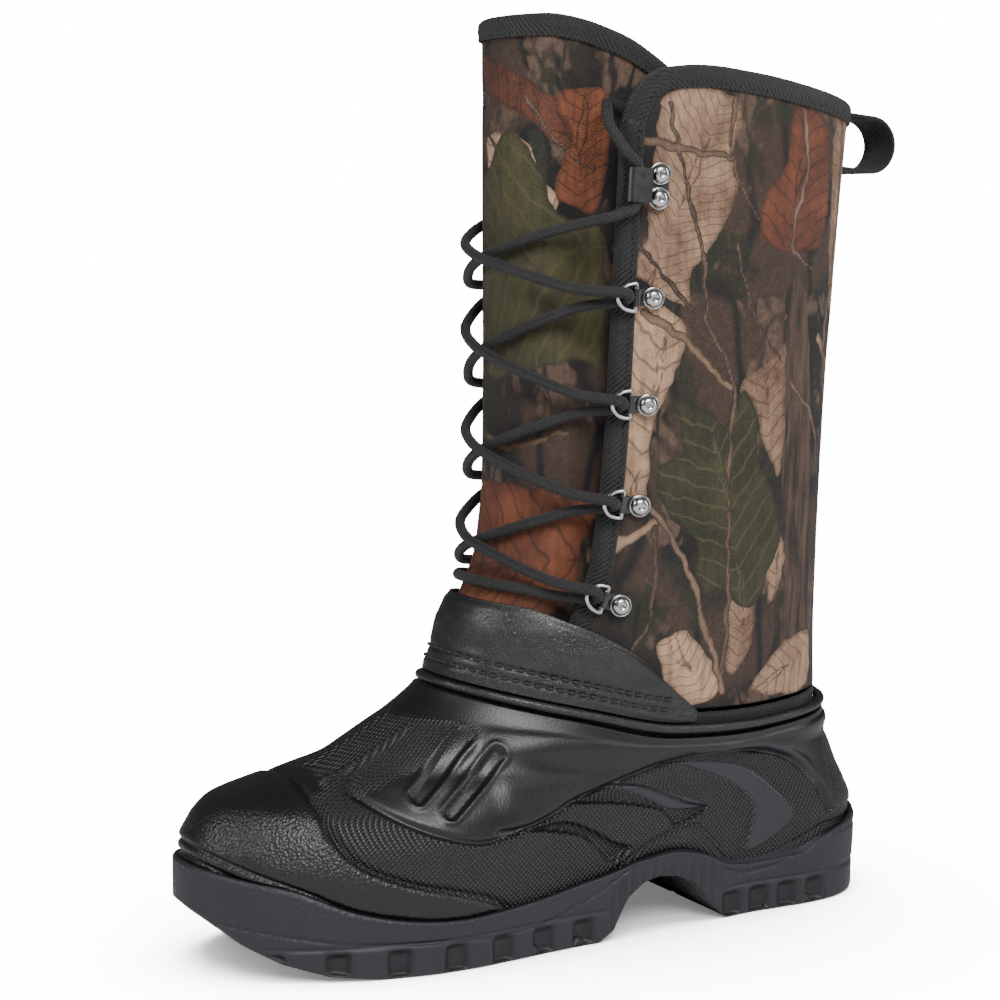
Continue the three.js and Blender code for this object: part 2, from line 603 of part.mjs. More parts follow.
function buildTongue() {
  const angles = spread(-TONGUE_HALF, TONGUE_HALF, 20);
  const layer = (extra) => grid(angles, TONGUE_ROWS, (angle, v) => {
    const z = tonguePlace(angle, v);
    return onShaft(angle, z, tongueOffset(angle, z) + extra);
  });
  add('tongue_face', slab(layer(0), layer(-FABRIC)), FINISH.printedFabric);
  const low = -FABRIC - 2 * GAP;
  add('tongue_insulation', slab(layer(low), layer(low - TONGUE_FOAM)), FINISH.fleece);
  const last = TONGUE_HALF - TONGUE_HEM;
  const places = [-last, ...angles.slice(1, -1), last]
    .map((angle) => ({ angle, z: tonguePlace(angle, 1) }));
  const stack = FABRIC + 2 * GAP + TONGUE_FOAM;
  add('tongue_binding', bindEdge(places, stack, BINDING_WIDTH, 2 * GAP, tongueOffset), FINISH.blackTwill);
}

const GUSSET_START = 1.5;         // degrees back from the tongue's edge
const GUSSET_END = 22;
const GUSSET_TOP = 0.6;           // share of the tongue's height

/** Folded fabric between the edge of the tongue and the shaft, which keeps water out of the opening. */
function buildGusset(side, label) {
  const angles = spread(TONGUE_HALF + GUSSET_START, TONGUE_HALF + GUSSET_END, 4);
  const rows = spread(0.02, GUSSET_TOP, 5);
  const layer = (off) => grid(angles, rows, (angle, v) => {
    const z = tonguePlace(TONGUE_HALF, v);
    return onShaft(side * angle, z, off);
  });
  const low = -FABRIC - FOAM - BINDING_LEAF - 5 * GAP;
  add(`gusset_${label}`, slab(layer(low), layer(low - GUSSET)), FINISH.blackTwill);
}

// ---------------------------------------------------------------- lace hardware
/** Frame of a piece of hardware on a flap: x back from the edge, y along the edge, z off the fabric. */
function hardwareFrame(side, z, inset = BAR_INSET) {
  const height = rise(z);
  const angle = side * edgeAngle(height);
  const along = onShaft(side * edgeAngle(height + 2), height + 2)
    .sub(onShaft(side * edgeAngle(height - 2), height - 2)).normalize();
  const origin = nearEdge(angle, height, along, side * inset, 0);
  const ahead = nearEdge(angle, height, along, side * (inset - 3), 0);
  const behind = nearEdge(angle, height, along, side * (inset + 3), 0);
  const x = behind.sub(ahead).normalize();
  const up = along.clone().addScaledVector(x, -along.dot(x)).normalize();
  const out = x.clone().cross(up).multiplyScalar(side).normalize();
  return { origin, x, up, out, side };
}

/** A point of a hardware frame: a back from the bar, c along the edge, b off the fabric. */
const inFrame = (frame, a, c, b) => frame.origin.clone()
  .addScaledVector(frame.x, a).addScaledVector(frame.up, c).addScaledVector(frame.out, b);

/** Extrude a profile drawn in (a, b) by a width along the flap edge. */
function extrudeInFrame(frame, shape, width, segments = 5) {
  const options = { depth: width, curveSegments: segments, bevelEnabled: false };
  const geometry = new THREE.ExtrudeGeometry(shape, options);
  const along = frame.x.clone().cross(frame.out);
  const start = inFrame(frame, 0, 0, 0).addScaledVector(along, -width / 2);
  geometry.applyMatrix4(new THREE.Matrix4().makeBasis(frame.x, frame.out, along).setPosition(start));
  return geometry;
}

const PLATE_LOW = BINDING_LEAF + 2 * GAP;

function rivet(frame, c) {
  const base = PLATE_LOW + CLIP_PLATE + GAP;
  const dome = RIVET_DOME.map(([share, height]) => new THREE.Vector2(share * RIVET_RADIUS, base + height));
  const geometry = new THREE.LatheGeometry([new THREE.Vector2(0, base), ...dome], 10);
  const centre = inFrame(frame, RIVET_INSET, c, 0);
  const z = frame.out.clone().cross(frame.x).multiplyScalar(-1);
  geometry.applyMatrix4(new THREE.Matrix4().makeBasis(frame.x, frame.out, z).setPosition(centre));
  geometry.deleteAttribute('normal');
  geometry.deleteAttribute('uv');
  const merged = mergeVertices(geometry, 1e-3);
  const p = merged.attributes.position;
  const points = Array.from({ length: p.count }, (_, i) => V().fromBufferAttribute(p, i));
  const faces = [];
  for (let i = 0; i < merged.index.count; i += 3) {
    faces.push([merged.index.getX(i), merged.index.getX(i + 1), merged.index.getX(i + 2)]);
  }
  return bodyFrom(points, faces);
}

const BOW_STEPS = 13;
const BOW_SHAPE = 0.8;            // 1 makes the bow an ellipse, less makes its shoulders fuller
const BOW_EASE = 0.35;            // the bow starts this far off the bar

/** A ring of wire with a straight bar and a round bow, tilted up by the lace under it. */
function ringWire(frame) {
  const tilt = radians(RING_TILT);
  const place = (reach, c) => inFrame(frame, -reach * Math.cos(tilt), c, BAR_LIFT + reach * Math.sin(tilt));
  const points = [place(0, -RING_HALF), place(0, 0)];
  for (let i = 0; i < BOW_STEPS; i += 1) {
    const a = (Math.PI * i) / BOW_STEPS;
    const reach = RING_REACH * Math.sin(a) ** BOW_SHAPE + (i ? BOW_EASE : 0);
    points.push(place(reach, RING_HALF * Math.cos(a)));
  }
  return tube(points, WIRE, 6, true);
}

/** Folded clip: an eye round the bar and a tail under the rivet. */
function ringClip(frame) {
  const eye = WIRE + EYE_ROOM;
  const outer = BAR_LIFT - PLATE_LOW;
  const tailTop = PLATE_LOW + CLIP_PLATE;
  const start = Math.asin((tailTop - BAR_LIFT) / outer);
  const shape = new THREE.Shape();
  shape.moveTo(0, PLATE_LOW);
  shape.lineTo(CLIP_TAIL, PLATE_LOW);
  shape.lineTo(CLIP_TAIL, tailTop);
  shape.absarc(0, BAR_LIFT, outer, start, (3 * Math.PI) / 2, false);
  const hole = new THREE.Path();
  hole.absarc(0, BAR_LIFT, eye, 0, 2 * Math.PI, true);
  shape.holes.push(hole);
  return extrudeInFrame(frame, shape, CLIP_WIDTH, 4);
}

/** Speed hook: one plate that lies under two rivets, folds outwards and comes back over the lace. */
function speedHook(frame) {
  const low = PLATE_LOW;
  const inside = low + CLIP_PLATE;
  const lip = inside + HOOK_THROAT;
  const front = -HOOK_FOLD;
  const radius = HOOK_THROAT / 2;
  const shape = new THREE.Shape();
  shape.moveTo(CLIP_TAIL, low);
  shape.lineTo(CLIP_TAIL, inside);
  shape.lineTo(front, inside);
  shape.absarc(front, inside + radius, radius, -Math.PI / 2, Math.PI / 2, true);
  shape.lineTo(HOOK_LIP, lip);
  shape.lineTo(HOOK_LIP, lip + CLIP_PLATE);
  shape.lineTo(front, lip + CLIP_PLATE);
  shape.absarc(front, inside + radius, radius + CLIP_PLATE, Math.PI / 2, -Math.PI / 2, false);
  return extrudeInFrame(frame, shape, HOOK_HEIGHT, 4);
}

const SIDES = [[1, 'lateral'], [-1, 'medial']];

function buildHardware() {
  SIDES.forEach(([side, label]) => {
    LACE_ROWS.forEach((z, i) => {
      const frame = hardwareFrame(side, z);
      const row = i + 2;
      add(`d_ring_${label}_${row}`, ringWire(frame), FINISH.brightMetal);
      add(`ring_clip_${label}_${row}`, ringClip(frame), FINISH.darkMetal);
      add(`ring_rivet_${label}_${row}`, rivet(frame, 0), FINISH.brightMetal);
    });
    const frame = hardwareFrame(side, HOOK_ROW);
    add(`speed_hook_${label}`, speedHook(frame), FINISH.darkMetal);
    add(`hook_rivet_${label}_upper`, rivet(frame, HOOK_RIVET_PITCH / 2), FINISH.brightMetal);
    add(`hook_rivet_${label}_lower`, rivet(frame, -HOOK_RIVET_PITCH / 2), FINISH.brightMetal);
  });
}

// ---------------------------------------------------------------- pull loop
/** Turn a profile drawn in (back, up) at the back of the shaft into a tape of the loop's width. */
function backTape(shape) {
  const z = rise(LOOP_HEIGHT);
  const origin = onShaft(180, z);
  const up = onShaft(180, z + 10).sub(onShaft(180, z - 10)).normalize();
  const out = V(0, up.z, -up.y);
  const across = out.clone().cross(up);
  const options = { depth: LOOP_WIDTH, curveSegments: 8, bevelEnabled: false };
  const geometry = new THREE.ExtrudeGeometry(shape, options);
  origin.addScaledVector(across, -LOOP_WIDTH / 2);
  return geometry.applyMatrix4(new THREE.Matrix4().makeBasis(out, up, across).setPosition(origin));
}

function buildPullLoop() {
  const seat = BINDING_LEAF + 3 * GAP;       // inner face of the sewn base, off the fabric
  const hinge = seat + LOOP_TAPE;
  const inside = LOOP_OPENING / 2;
  const outside = inside + LOOP_TAPE;
  const leg = (radius, w) => hinge + Math.sqrt(radius ** 2 - w ** 2);
  const base = new THREE.Shape();
  base.moveTo(seat, -outside);
  base.lineTo(leg(LOOP_CUT, outside), -outside);
  base.lineTo(leg(LOOP_CUT, inside), -inside);
  base.lineTo(hinge, -inside);
  base.lineTo(hinge, inside);
  base.lineTo(leg(LOOP_CUT, inside), inside);
  base.lineTo(leg(LOOP_CUT, outside), outside);
  base.lineTo(seat, outside);
  add('pull_loop_base', backTape(base), FINISH.webbing);
  const start = LOOP_CUT + GAP;
  const centre = LOOP_REACH - outside;
  const loop = new THREE.Shape();
  loop.moveTo(leg(start, outside), -outside);
  loop.lineTo(centre, -outside);
  loop.absarc(centre, 0, outside, -Math.PI / 2, Math.PI / 2, false);
  loop.lineTo(leg(start, outside), outside);
  loop.lineTo(leg(start, inside), inside);
  loop.lineTo(centre, inside);
  loop.absarc(centre, 0, inside, Math.PI / 2, -Math.PI / 2, true);
  loop.lineTo(leg(start, inside), -inside);
  add('pull_loop', backTape(loop), FINISH.webbing);
}

// ---------------------------------------------------------------- lace
// The lace's route, chosen by hand. A ring pass is (back from the bar, along the edge, off the fabric);
// a strand crosses the tongue at these angles, lifted off the shaft by these amounts.
const RING_PASS = [[-7.9, -2.2, 4.3], [-5.1, -1.1, 5.5], [-4, 0, 8.4], [-5.1, 1.1, 11.5], [-8, 2.2, 12.9]];
const STRAND_ANGLES = [41, 28, 14, 0, -14, -28, -41];
const STRAND_RISE = [0.1, 0.22, 0.36, 0.5, 0.64, 0.78, 0.9];
const STRAND_OVER = [10.4, 7.4, 7.4, 8.3, 6.9, 4, 3];
const STRAND_UNDER = [10.4, 6, 3.6, 3.2, 3.2, 3.4, 3];
const BAR_ANGLES = [0, 14, 28, 40];
const BAR_HEIGHTS = [149.5, 149, 148, 146];
const BAR_LIFTS = [2.2, 2.2, 2.4, 2.6];
const LACE_DRAWN = 4.6;            // diameter that the lifts off the shaft are given for
/** Lift of the lace off the shaft: a thicker lace and a longer last both need more of it. */
const laceLift = (b) => {
  const thicker = (LACE_DIAMETER - LACE_DRAWN) / 2;
  return b > 0 ? (b + thicker) * lengthScale : b - thicker;
};
const HOOK_PASS = [[-12, -13.5, 5], [-8.6, -11.8, 5.2], [-4.4, -10.4, 5.5], [-2.2, -7, 5.45], [-2.2, 0, 5.45],
  [-2.2, 7, 5.45], [-4.6, 10.4, 5.6], [-9, 15, 5.4]];
const TUCK = [[49.6, 340, 4], [49, 345, 1.5], [48.8, 348, -3], [49.4, 349.5, -8], [52, 349, -11.4],
  [57, 346, -12.2], [61, 340, -12.2], [64, 328, -12.2], [66, 310, -12.2], [66, 290, -12.2]];
const AGLET = [[66, 289.2, -12.2], [66, 272, -12.2]];
const AGLET_RADIUS = 2.1;
const HOOK_ENTRY = 13;            // the lace reaches the hook from this far below it

/** One half of the lace, from the middle of the bottom bar to its end, starting towards a side. */
function laceHalf(first) {
  const rows = [...LACE_ROWS].reverse();
  const points = BAR_ANGLES.slice(1).map((angle, i) =>
    onShaft(first * angle, rise(BAR_HEIGHTS[i + 1]), laceLift(BAR_LIFTS[i + 1])));
  let side = first;
  rows.forEach((row, i) => {
    const frame = hardwareFrame(side, row);
    points.push(...RING_PASS.map(([a, c, b]) => inFrame(frame, a, c, b)));
    const next = i + 1 < rows.length ? rows[i + 1] : HOOK_ROW - HOOK_ENTRY;
    const over = (first > 0) === (i % 2 === 0);
    STRAND_ANGLES.forEach((angle, k) => {
      const lift = over ? STRAND_OVER[k] : STRAND_UNDER[k];
      points.push(onShaft(side * angle, rise(lerp(row, next, STRAND_RISE[k])), laceLift(lift)));
    });
    side = -side;
  });
  const hook = hardwareFrame(side, HOOK_ROW);
  points.push(...HOOK_PASS.map(([a, c, b]) => inFrame(hook, a, c, b)));
  points.push(...TUCK.map(([angle, z, b]) => onShaft(side * angle, rise(z), laceLift(b))));
  return { points, side };
}

function buildLace() {
  const right = laceHalf(1);
  const left = laceHalf(-1);
  const middle = onShaft(0, rise(BAR_HEIGHTS[0]), laceLift(BAR_LIFTS[0]));
  const route = [...left.points.reverse(), middle, ...right.points];
  add('lace', tube(route, LACE_DIAMETER / 2, 8), FINISH.laceCord);
  [right, left].forEach(({ side }) => {
    const ends = AGLET.map(([angle, z, b]) => onShaft(side * angle, rise(z), laceLift(b)));
    add(`aglet_${side > 0 ? 'lateral' : 'medial'}`, tube(ends, AGLET_RADIUS, 8), FINISH.laceTip);
  });
}

buildOutsole();
buildShell();
buildBootie();
buildInsole();
buildCollar();
SIDES.forEach(([side, label]) => buildShaftSide(side, label));
buildShaftBinding();
buildBackStay();
buildGaiter();
buildTongue();
SIDES.forEach(([side, label]) => buildGusset(side, label));
buildHardware();
buildPullLoop();
buildLace();

// The origin is at the middle of the boot's bounding box, on the ground.
const box = new THREE.Box3().setFromObject(group);
const centre = box.getCenter(V(0, 0, 0));
group.position.set(-centre.x, -centre.y, -box.min.z);

export default group;
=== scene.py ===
"""Insulated hunting boot, left foot: its looks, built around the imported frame.

Every surface is worked out in millimetres on the last, the form that a boot is built on, and is then
put into the frame in metres. The toe points towards -Y, the wearer's left is +X, the ground is z = 0.
Angles go round the boot in degrees: 0 front, 90 lateral, 180 back, negative on the medial side.
"""

import logging
from collections.abc import Callable
from dataclasses import dataclass
from enum import Enum

import bmesh
import bpy
import numpy as np
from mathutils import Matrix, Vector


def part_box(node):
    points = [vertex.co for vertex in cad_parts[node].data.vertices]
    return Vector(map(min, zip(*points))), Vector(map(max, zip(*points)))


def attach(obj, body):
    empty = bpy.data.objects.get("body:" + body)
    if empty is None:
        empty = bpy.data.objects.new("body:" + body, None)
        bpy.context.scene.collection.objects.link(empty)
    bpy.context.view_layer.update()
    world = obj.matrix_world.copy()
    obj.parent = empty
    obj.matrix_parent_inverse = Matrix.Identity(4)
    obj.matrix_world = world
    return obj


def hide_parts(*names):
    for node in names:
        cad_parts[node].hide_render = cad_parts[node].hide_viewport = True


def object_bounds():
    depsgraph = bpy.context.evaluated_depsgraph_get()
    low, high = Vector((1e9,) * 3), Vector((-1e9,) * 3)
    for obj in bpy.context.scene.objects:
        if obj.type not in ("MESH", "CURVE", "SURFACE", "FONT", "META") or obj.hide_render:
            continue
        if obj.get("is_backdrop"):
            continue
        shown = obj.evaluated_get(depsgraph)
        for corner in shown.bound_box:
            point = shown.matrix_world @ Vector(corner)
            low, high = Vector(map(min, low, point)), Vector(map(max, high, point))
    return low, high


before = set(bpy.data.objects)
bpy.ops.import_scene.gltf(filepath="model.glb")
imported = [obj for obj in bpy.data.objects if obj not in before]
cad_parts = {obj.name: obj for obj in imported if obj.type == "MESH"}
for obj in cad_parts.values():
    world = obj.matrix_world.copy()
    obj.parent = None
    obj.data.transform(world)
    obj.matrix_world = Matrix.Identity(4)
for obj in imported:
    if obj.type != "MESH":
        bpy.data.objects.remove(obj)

logging.basicConfig(level=logging.INFO, format="%(relativeCreated)6d ms  %(message)s")
log = logging.getLogger("boot")
CAD_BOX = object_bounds()
MM = 0.001
GAP = 0.3
Array = np.ndarray
Socket = bpy.types.NodeSocket
Input = Socket | float | tuple


# ---------------------------------------------------------------- small mathematics
def unit(v: Array) -> Array:
    """Vectors along the last axis, at length one."""
    return v / np.maximum(np.linalg.norm(v, axis=-1, keepdims=True), 1e-12)


def lerp(a: Array | float, b: Array | float, t: Array | float) -> Array | float:
    """Straight blend from a at t = 0 to b at t = 1."""
    return a + (b - a) * t


def smooth(x: Array, low: float, high: float) -> Array:
    """Smooth step: 0 below low, 1 above high, 3t^2 - 2t^3 between."""
    t = np.clip((x - low) / (high - low), 0.0, 1.0)
    return t * t * (3 - 2 * t)


def monotone(knots: Array, values: Array, x: Array) -> Array:
    """Monotone cubic through knots: Hermite pieces whose slopes are harmonic means of the two sides.

    Args:
        knots: knot places, shape (K,) or (K, ...).
        values: knot values, shape (K, ...).
        x: where to read it; its shape fits the knots' after the first axis.

    Returns:
        The curve's values, in the common shape.
    """
    x = np.asarray(x, float)
    knots = np.asarray(knots, float)
    values = np.asarray(values, float)
    shape = np.broadcast_shapes(x.shape, knots.shape[1:], values.shape[1:])
    free = lambda a: a.shape[:1] + (1,) * (len(shape) - a.ndim + 1) + a.shape[1:]
    spread = lambda a: np.broadcast_to(a.reshape(free(a)), a.shape[:1] + shape)
    knots, values, x = spread(knots), spread(values), np.broadcast_to(x, shape)
    step = np.diff(knots, axis=0)
    slope = np.diff(values, axis=0) / step
    product = slope[:-1] * slope[1:]
    total = np.where(product > 0, slope[:-1] + slope[1:], 1.0)
    tangent = np.concatenate([slope[:1], np.where(product > 0, 2 * product / total, 0.0), slope[-1:]])
    index = (x[None] > knots[1:-1]).sum(axis=0)[None]
    at = lambda a: np.take_along_axis(a, index, axis=0)[0]
    h = at(step)
    t = (x - at(knots)) / h
    t2, t3 = t * t, t * t * t
    return ((2 * t3 - 3 * t2 + 1) * at(values) + (t3 - 2 * t2 + t) * h * at(tangent)
            + (3 * t2 - 2 * t3) * at(values[1:]) + (t3 - t2) * h * at(tangent[1:]))


def through(table: list, x: Array) -> Array:
    """Monotone cubic through a list of (place, value) pairs."""
    pairs = np.array(table, float)
    return monotone(pairs[:, 0], pairs[:, 1], x)


def spline(points: Array, per_span: int) -> Array:
    """Centripetal-like smooth line (Catmull-Rom) through points, per_span steps between each two."""
    p = np.asarray(points, float)
    p = np.concatenate([[2 * p[0] - p[1]], p, [2 * p[-1] - p[-2]]])
    t = (np.arange(per_span) / per_span)[:, None]
    spans = []
    for a, b, c, d in zip(p[:-3], p[1:-2], p[2:-1], p[3:]):
        spans.append(0.5 * (2 * b + (c - a) * t + (2 * a - 5 * b + 4 * c - d) * t ** 2
                            + (3 * b - a - 3 * c + d) * t ** 3))
    return np.concatenate([*spans, p[-2:-1]])


def run_length(points: Array) -> Array:
    """Length along a line up to each of its points."""
    return np.concatenate([[0], np.cumsum(np.linalg.norm(np.diff(points, axis=0), axis=1))])


def resample(points: Array, step: float) -> Array:
    """The same line with equal steps of about the given length."""
    length = run_length(points)
    count = max(int(round(length[-1] / step)), 2)
    places = np.linspace(0, length[-1], count + 1)
    return np.stack([np.interp(places, length, points[:, k]) for k in range(points.shape[1])], axis=1)


def hashed(i: Array, j: Array, k: Array, seed: int) -> Array:
    """Repeatable random value in 0..1 for whole-number lattice places."""
    n = (i * 73856093) ^ (j * 19349663) ^ (k * 83492791) ^ (seed * 2654435761)
    n = (n ^ (n >> 13)) * 1274126177 & 0x7FFFFFFF
    return ((n ^ (n >> 16)) & 0xFFFF) / 65535.0


def value_noise(points: Array, size: float, seed: int) -> Array:
    """Smooth noise in 0..1: lattice values a size apart, blended with a smooth step along each axis."""
    q = points / size
    cell = np.floor(q).astype(np.int64)
    f = q - cell
    f = f * f * (3 - 2 * f)
    total = np.zeros(points.shape[:-1])
    for corner in range(8):
        d = np.array([corner & 1, corner >> 1 & 1, corner >> 2 & 1])
        weight = np.prod(np.where(d, f, 1 - f), axis=-1)
        total += weight * hashed(*np.moveaxis(cell + d, -1, 0), seed)
    return total


def line_distance(q: Array, line: Array) -> Array:
    """Distance from each point of q (..., D) to a broken line (M, D)."""
    best = np.full(q.shape[:-1], 1e9)
    for a, b in zip(line[:-1], line[1:]):
        ab = b - a
        t = np.clip(((q - a) @ ab) / max(ab @ ab, 1e-9), 0, 1)
        best = np.minimum(best, np.linalg.norm(q - a - t[..., None] * ab, axis=-1))
    return best


def inside(q: Array, outline: Array) -> Array:
    """Signed distance from points q (..., 2) to a closed outline, positive inside it."""
    ring = np.concatenate([outline, outline[:1]])
    crossed = np.zeros(q.shape[:-1], bool)
    for a, b in zip(ring[:-1], ring[1:]):
        spans = (a[1] > q[..., 1]) != (b[1] > q[..., 1])
        rise = b[1] - a[1] if b[1] != a[1] else 1e-9
        crossed ^= spans & (q[..., 0] < (b[0] - a[0]) * (q[..., 1] - a[1]) / rise + a[0])
    return np.where(crossed, 1, -1) * line_distance(q, ring)


def rounded(outline: list, per_span: int = 6) -> Array:
    """A closed outline through a few points, rounded by the smooth line through them."""
    p = np.array(outline, float)
    looped = np.concatenate([p[-2:], p, p[:2]])
    line = spline(looped, per_span)
    return line[2 * per_span:-2 * per_span]


# ---------------------------------------------------------------- the last
@dataclass(frozen=True)
class Ring:
    """One ring of the last: its front and back, and its height, half widths and middle over s, 0 to 1."""

    front: float
    back: float
    height: tuple
    lateral: tuple
    medial: tuple
    middle: tuple


FIFTHS = (0, 0.25, 0.5, 0.75, 1)
SEAT = ((0, 41), (0.05, 37.5), (0.09, 35), (0.17, 23), (0.26, 16), (0.32, 14), (0.41, 15), (0.52, 22),
        (0.6, 31), (0.64, 33), (0.68, 30), (0.74, 18), (0.78, 16), (0.85, 16), (0.9, 25), (1, 34))
LAST = (Ring(-157, 157, SEAT, (66, 60, 46, 44, 72), (66, 54, 38, 40, 72), (-8, -2, 0)),
        Ring(-157, 157, (50, 34, 42, 36, 42), (66, 61, 49, 46, 73), (66, 55, 40, 42, 73), (-8, -2, 0)),
        Ring(-154, 154, (57, 46, 50, 48, 50), (63, 61, 50, 46, 71), (62, 55, 41, 42, 71), (-8, -2, 0)),
        Ring(-146, 150, (66, 58, 59, 58, 58), (58, 58, 49, 45, 68), (56, 52, 41, 42, 68), (-8, -2, 0)),
        Ring(-118, 146, (74, 70, 68, 67, 68), (50, 54, 47, 44, 64), (48, 48, 40, 41, 64), (-7, -2, 0)),
        Ring(-84, 141, (84, 82, 77, 75, 77), (46, 48, 45, 44, 61), (44, 44, 40, 41, 61), (-5, -1, 0)),
        Ring(-48, 137, (108, 97, 87, 85, 88), (47, 46, 45, 45, 59), (45, 44, 43, 43, 59), (-2, 0, 0)),
        Ring(-37, 136, (136, 126, 118, 115, 118), (50, 49, 47, 47, 59), (48, 47, 46, 46, 59), (0, 0, 0)),
        Ring(-24, 136, (166, 158, 152, 149, 149), (54, 51, 49, 49, 60), (53, 50, 48, 48, 60), (0, 0, 0)),
        Ring(-20, 138, (215, 212, 209, 206, 205), (57, 54, 51, 52, 61), (57, 53, 50, 51, 61), (0, 0, 0)),
        Ring(-20, 143, (290, 285, 280, 275, 270), (58, 56, 53, 54, 62), (58, 56, 53, 54, 62), (0, 0, 0)),
        Ring(-20, 151, (390, 380, 371, 361, 352), (60, 58, 55, 56, 64), (60, 58, 55, 56, 64), (0, 0, 0)))
FLOOR = ((0, 40), (0.05, 38), (0.1, 32), (0.2, 22), (0.35, 18), (0.5, 23), (0.64, 30), (0.8, 28), (0.9, 30),
         (1, 33))
COLLAR = 6
ROUNDNESS = 0.92


def share(angle: Array) -> Array:
    """How far back an angle lies, 0 at the front and 1 at the back."""
    return (1 - np.cos(np.radians(angle))) / 2


def ring_points(angle: Array) -> Array:
    """Points of all rings at the angles: x = middle + sign(sin) |sin|^0.92 half, y from front to back.

    Args:
        angle: degrees round the boot, any shape.

    Returns:
        Points in millimetres, shape (rings, ..., 3).
    """
    s = share(angle)
    side = np.sin(np.radians(angle))
    points = []
    for ring in LAST:
        half = np.where(side >= 0, through(list(zip(FIFTHS, ring.lateral)), s),
                        through(list(zip(FIFTHS, ring.medial)), s))
        x = through(list(zip((0, 0.5, 1), ring.middle)), s) + np.sign(side) * np.abs(side) ** ROUNDNESS * half
        y = lerp(ring.front, ring.back, s)
        pairs = ring.height if isinstance(ring.height[0], tuple) else list(zip(FIFTHS, ring.height))
        points.append(np.stack([x, y, through(pairs, s)], axis=-1))
    return np.stack(points)


def by_ring(angle: Array, t: Array) -> Array:
    """The last's surface at angles and ring numbers t: a monotone cubic over the rings' numbers."""
    angle, t = np.broadcast_arrays(np.asarray(angle, float), np.asarray(t, float))
    points = ring_points(angle)
    index = np.arange(len(LAST), dtype=float)
    return np.stack([monotone(index, points[..., k], t) for k in range(3)], axis=-1)


def by_height(angle: Array, z: Array) -> Array:
    """The last's surface at angles and heights above the shell's rim: monotone cubics over the height."""
    angle, z = np.broadcast_arrays(np.asarray(angle, float), np.asarray(z, float))
    points = ring_points(angle)[COLLAR:]
    heights = points[..., 2]
    return np.stack([monotone(heights, points[..., 0], z), monotone(heights, points[..., 1], z), z], axis=-1)


def normal_of(surface, angle: Array, v: Array, dv: float) -> Array:
    """Outward normal of a surface(angle, v), from differences half a degree and dv to each side."""
    around = surface(angle + 0.5, v) - surface(angle - 0.5, v)
    up = surface(angle, v + dv) - surface(angle, v - dv)
    return unit(np.cross(around, up))


def on_shell(angle: Array, t: Array, off: Array = 0.0) -> Array:
    """Point on the shell's surface, moved off it along the normal."""
    angle, t = np.broadcast_arrays(np.asarray(angle, float), np.asarray(t, float))
    off = np.broadcast_to(off, angle.shape)[..., None]
    return by_ring(angle, t) + off * normal_of(by_ring, angle, np.maximum(t, 0.02), 0.02)


def on_shaft(angle: Array, z: Array, off: Array = 0.0) -> Array:
    """Point on the shaft's surface, moved off it along the normal."""
    angle, z = np.broadcast_arrays(np.asarray(angle, float), np.asarray(z, float))
    off = np.broadcast_to(off, angle.shape)[..., None]
    return by_height(angle, z) + off * normal_of(by_height, angle, z, 0.5)


def collar_height(angle: Array) -> Array:
    """Height of the shell's rim at an angle."""
    return ring_points(np.asarray(angle, float))[COLLAR][..., 2]


# ---------------------------------------------------------------- placing in the frame
SOLE_OFF = 3.0
SOLE_LAP = 0.3


def frame_shift() -> Array:
    """From the last's own origin to the frame's, in millimetres: the sole's toe and the loop's middle."""
    toe = min(on_shell(np.array([0.0]), np.array([t]), SOLE_OFF)[0, 1] for t in (0.0, SOLE_LAP))
    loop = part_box("pull_loop")
    return np.array([(loop[0][0] + loop[1][0]) / 2 / MM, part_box("outsole")[0][1] / MM - toe, 0.0])


SHIFT = frame_shift()


class Slot(Enum):
    """Material slots of the record."""

    SOLE = "outsole_rubber"
    SHELL = "shell_foam"
    PRINT = "printed_fabric"
    FLEECE = "fleece"
    FELT = "felt"
    TWILL = "black_twill"
    WEBBING = "webbing"
    LEATHER = "leather"
    BRIGHT = "bright_metal"
    DARK = "dark_metal"
    LACE = "lace_cord"
    TIP = "lace_tip"


@dataclass
class Shape:
    """A mesh in the making: points in millimetres, faces of four, values for each point."""

    points: Array
    faces: Array
    values: dict

    def joined(self, other: "Shape") -> "Shape":
        """This shape and another one as one."""
        keys = set(self.values) | set(other.values)
        fill = lambda s, k: s.values[k] if k in s.values else np.zeros((len(s.points),) + self.width(other,
                                                                                                     k))
        values = {k: np.concatenate([fill(self, k), fill(other, k)]) for k in sorted(keys)}
        faces = np.concatenate([self.faces, other.faces + len(self.points)])
        return Shape(np.concatenate([self.points, other.points]), faces, values)

    def width(self, other: "Shape", key: str) -> tuple:
        """Trailing shape of a value that one of the two shapes has."""
        return (self.values if key in self.values else other.values)[key].shape[1:]


def grid_faces(rows: int, columns: int, wrap_rows: bool = False, wrap_columns: bool = False) -> Array:
    """Faces of a grid of points laid out row by row."""
    i = np.arange(rows if wrap_rows else rows - 1)[:, None]
    j = np.arange(columns if wrap_columns else columns - 1)[None, :]
    at = lambda a, b: (a % rows) * columns + b % columns
    return np.stack([at(i, j), at(i + 1, j), at(i + 1, j + 1), at(i, j + 1)], axis=-1).reshape(-1, 4)


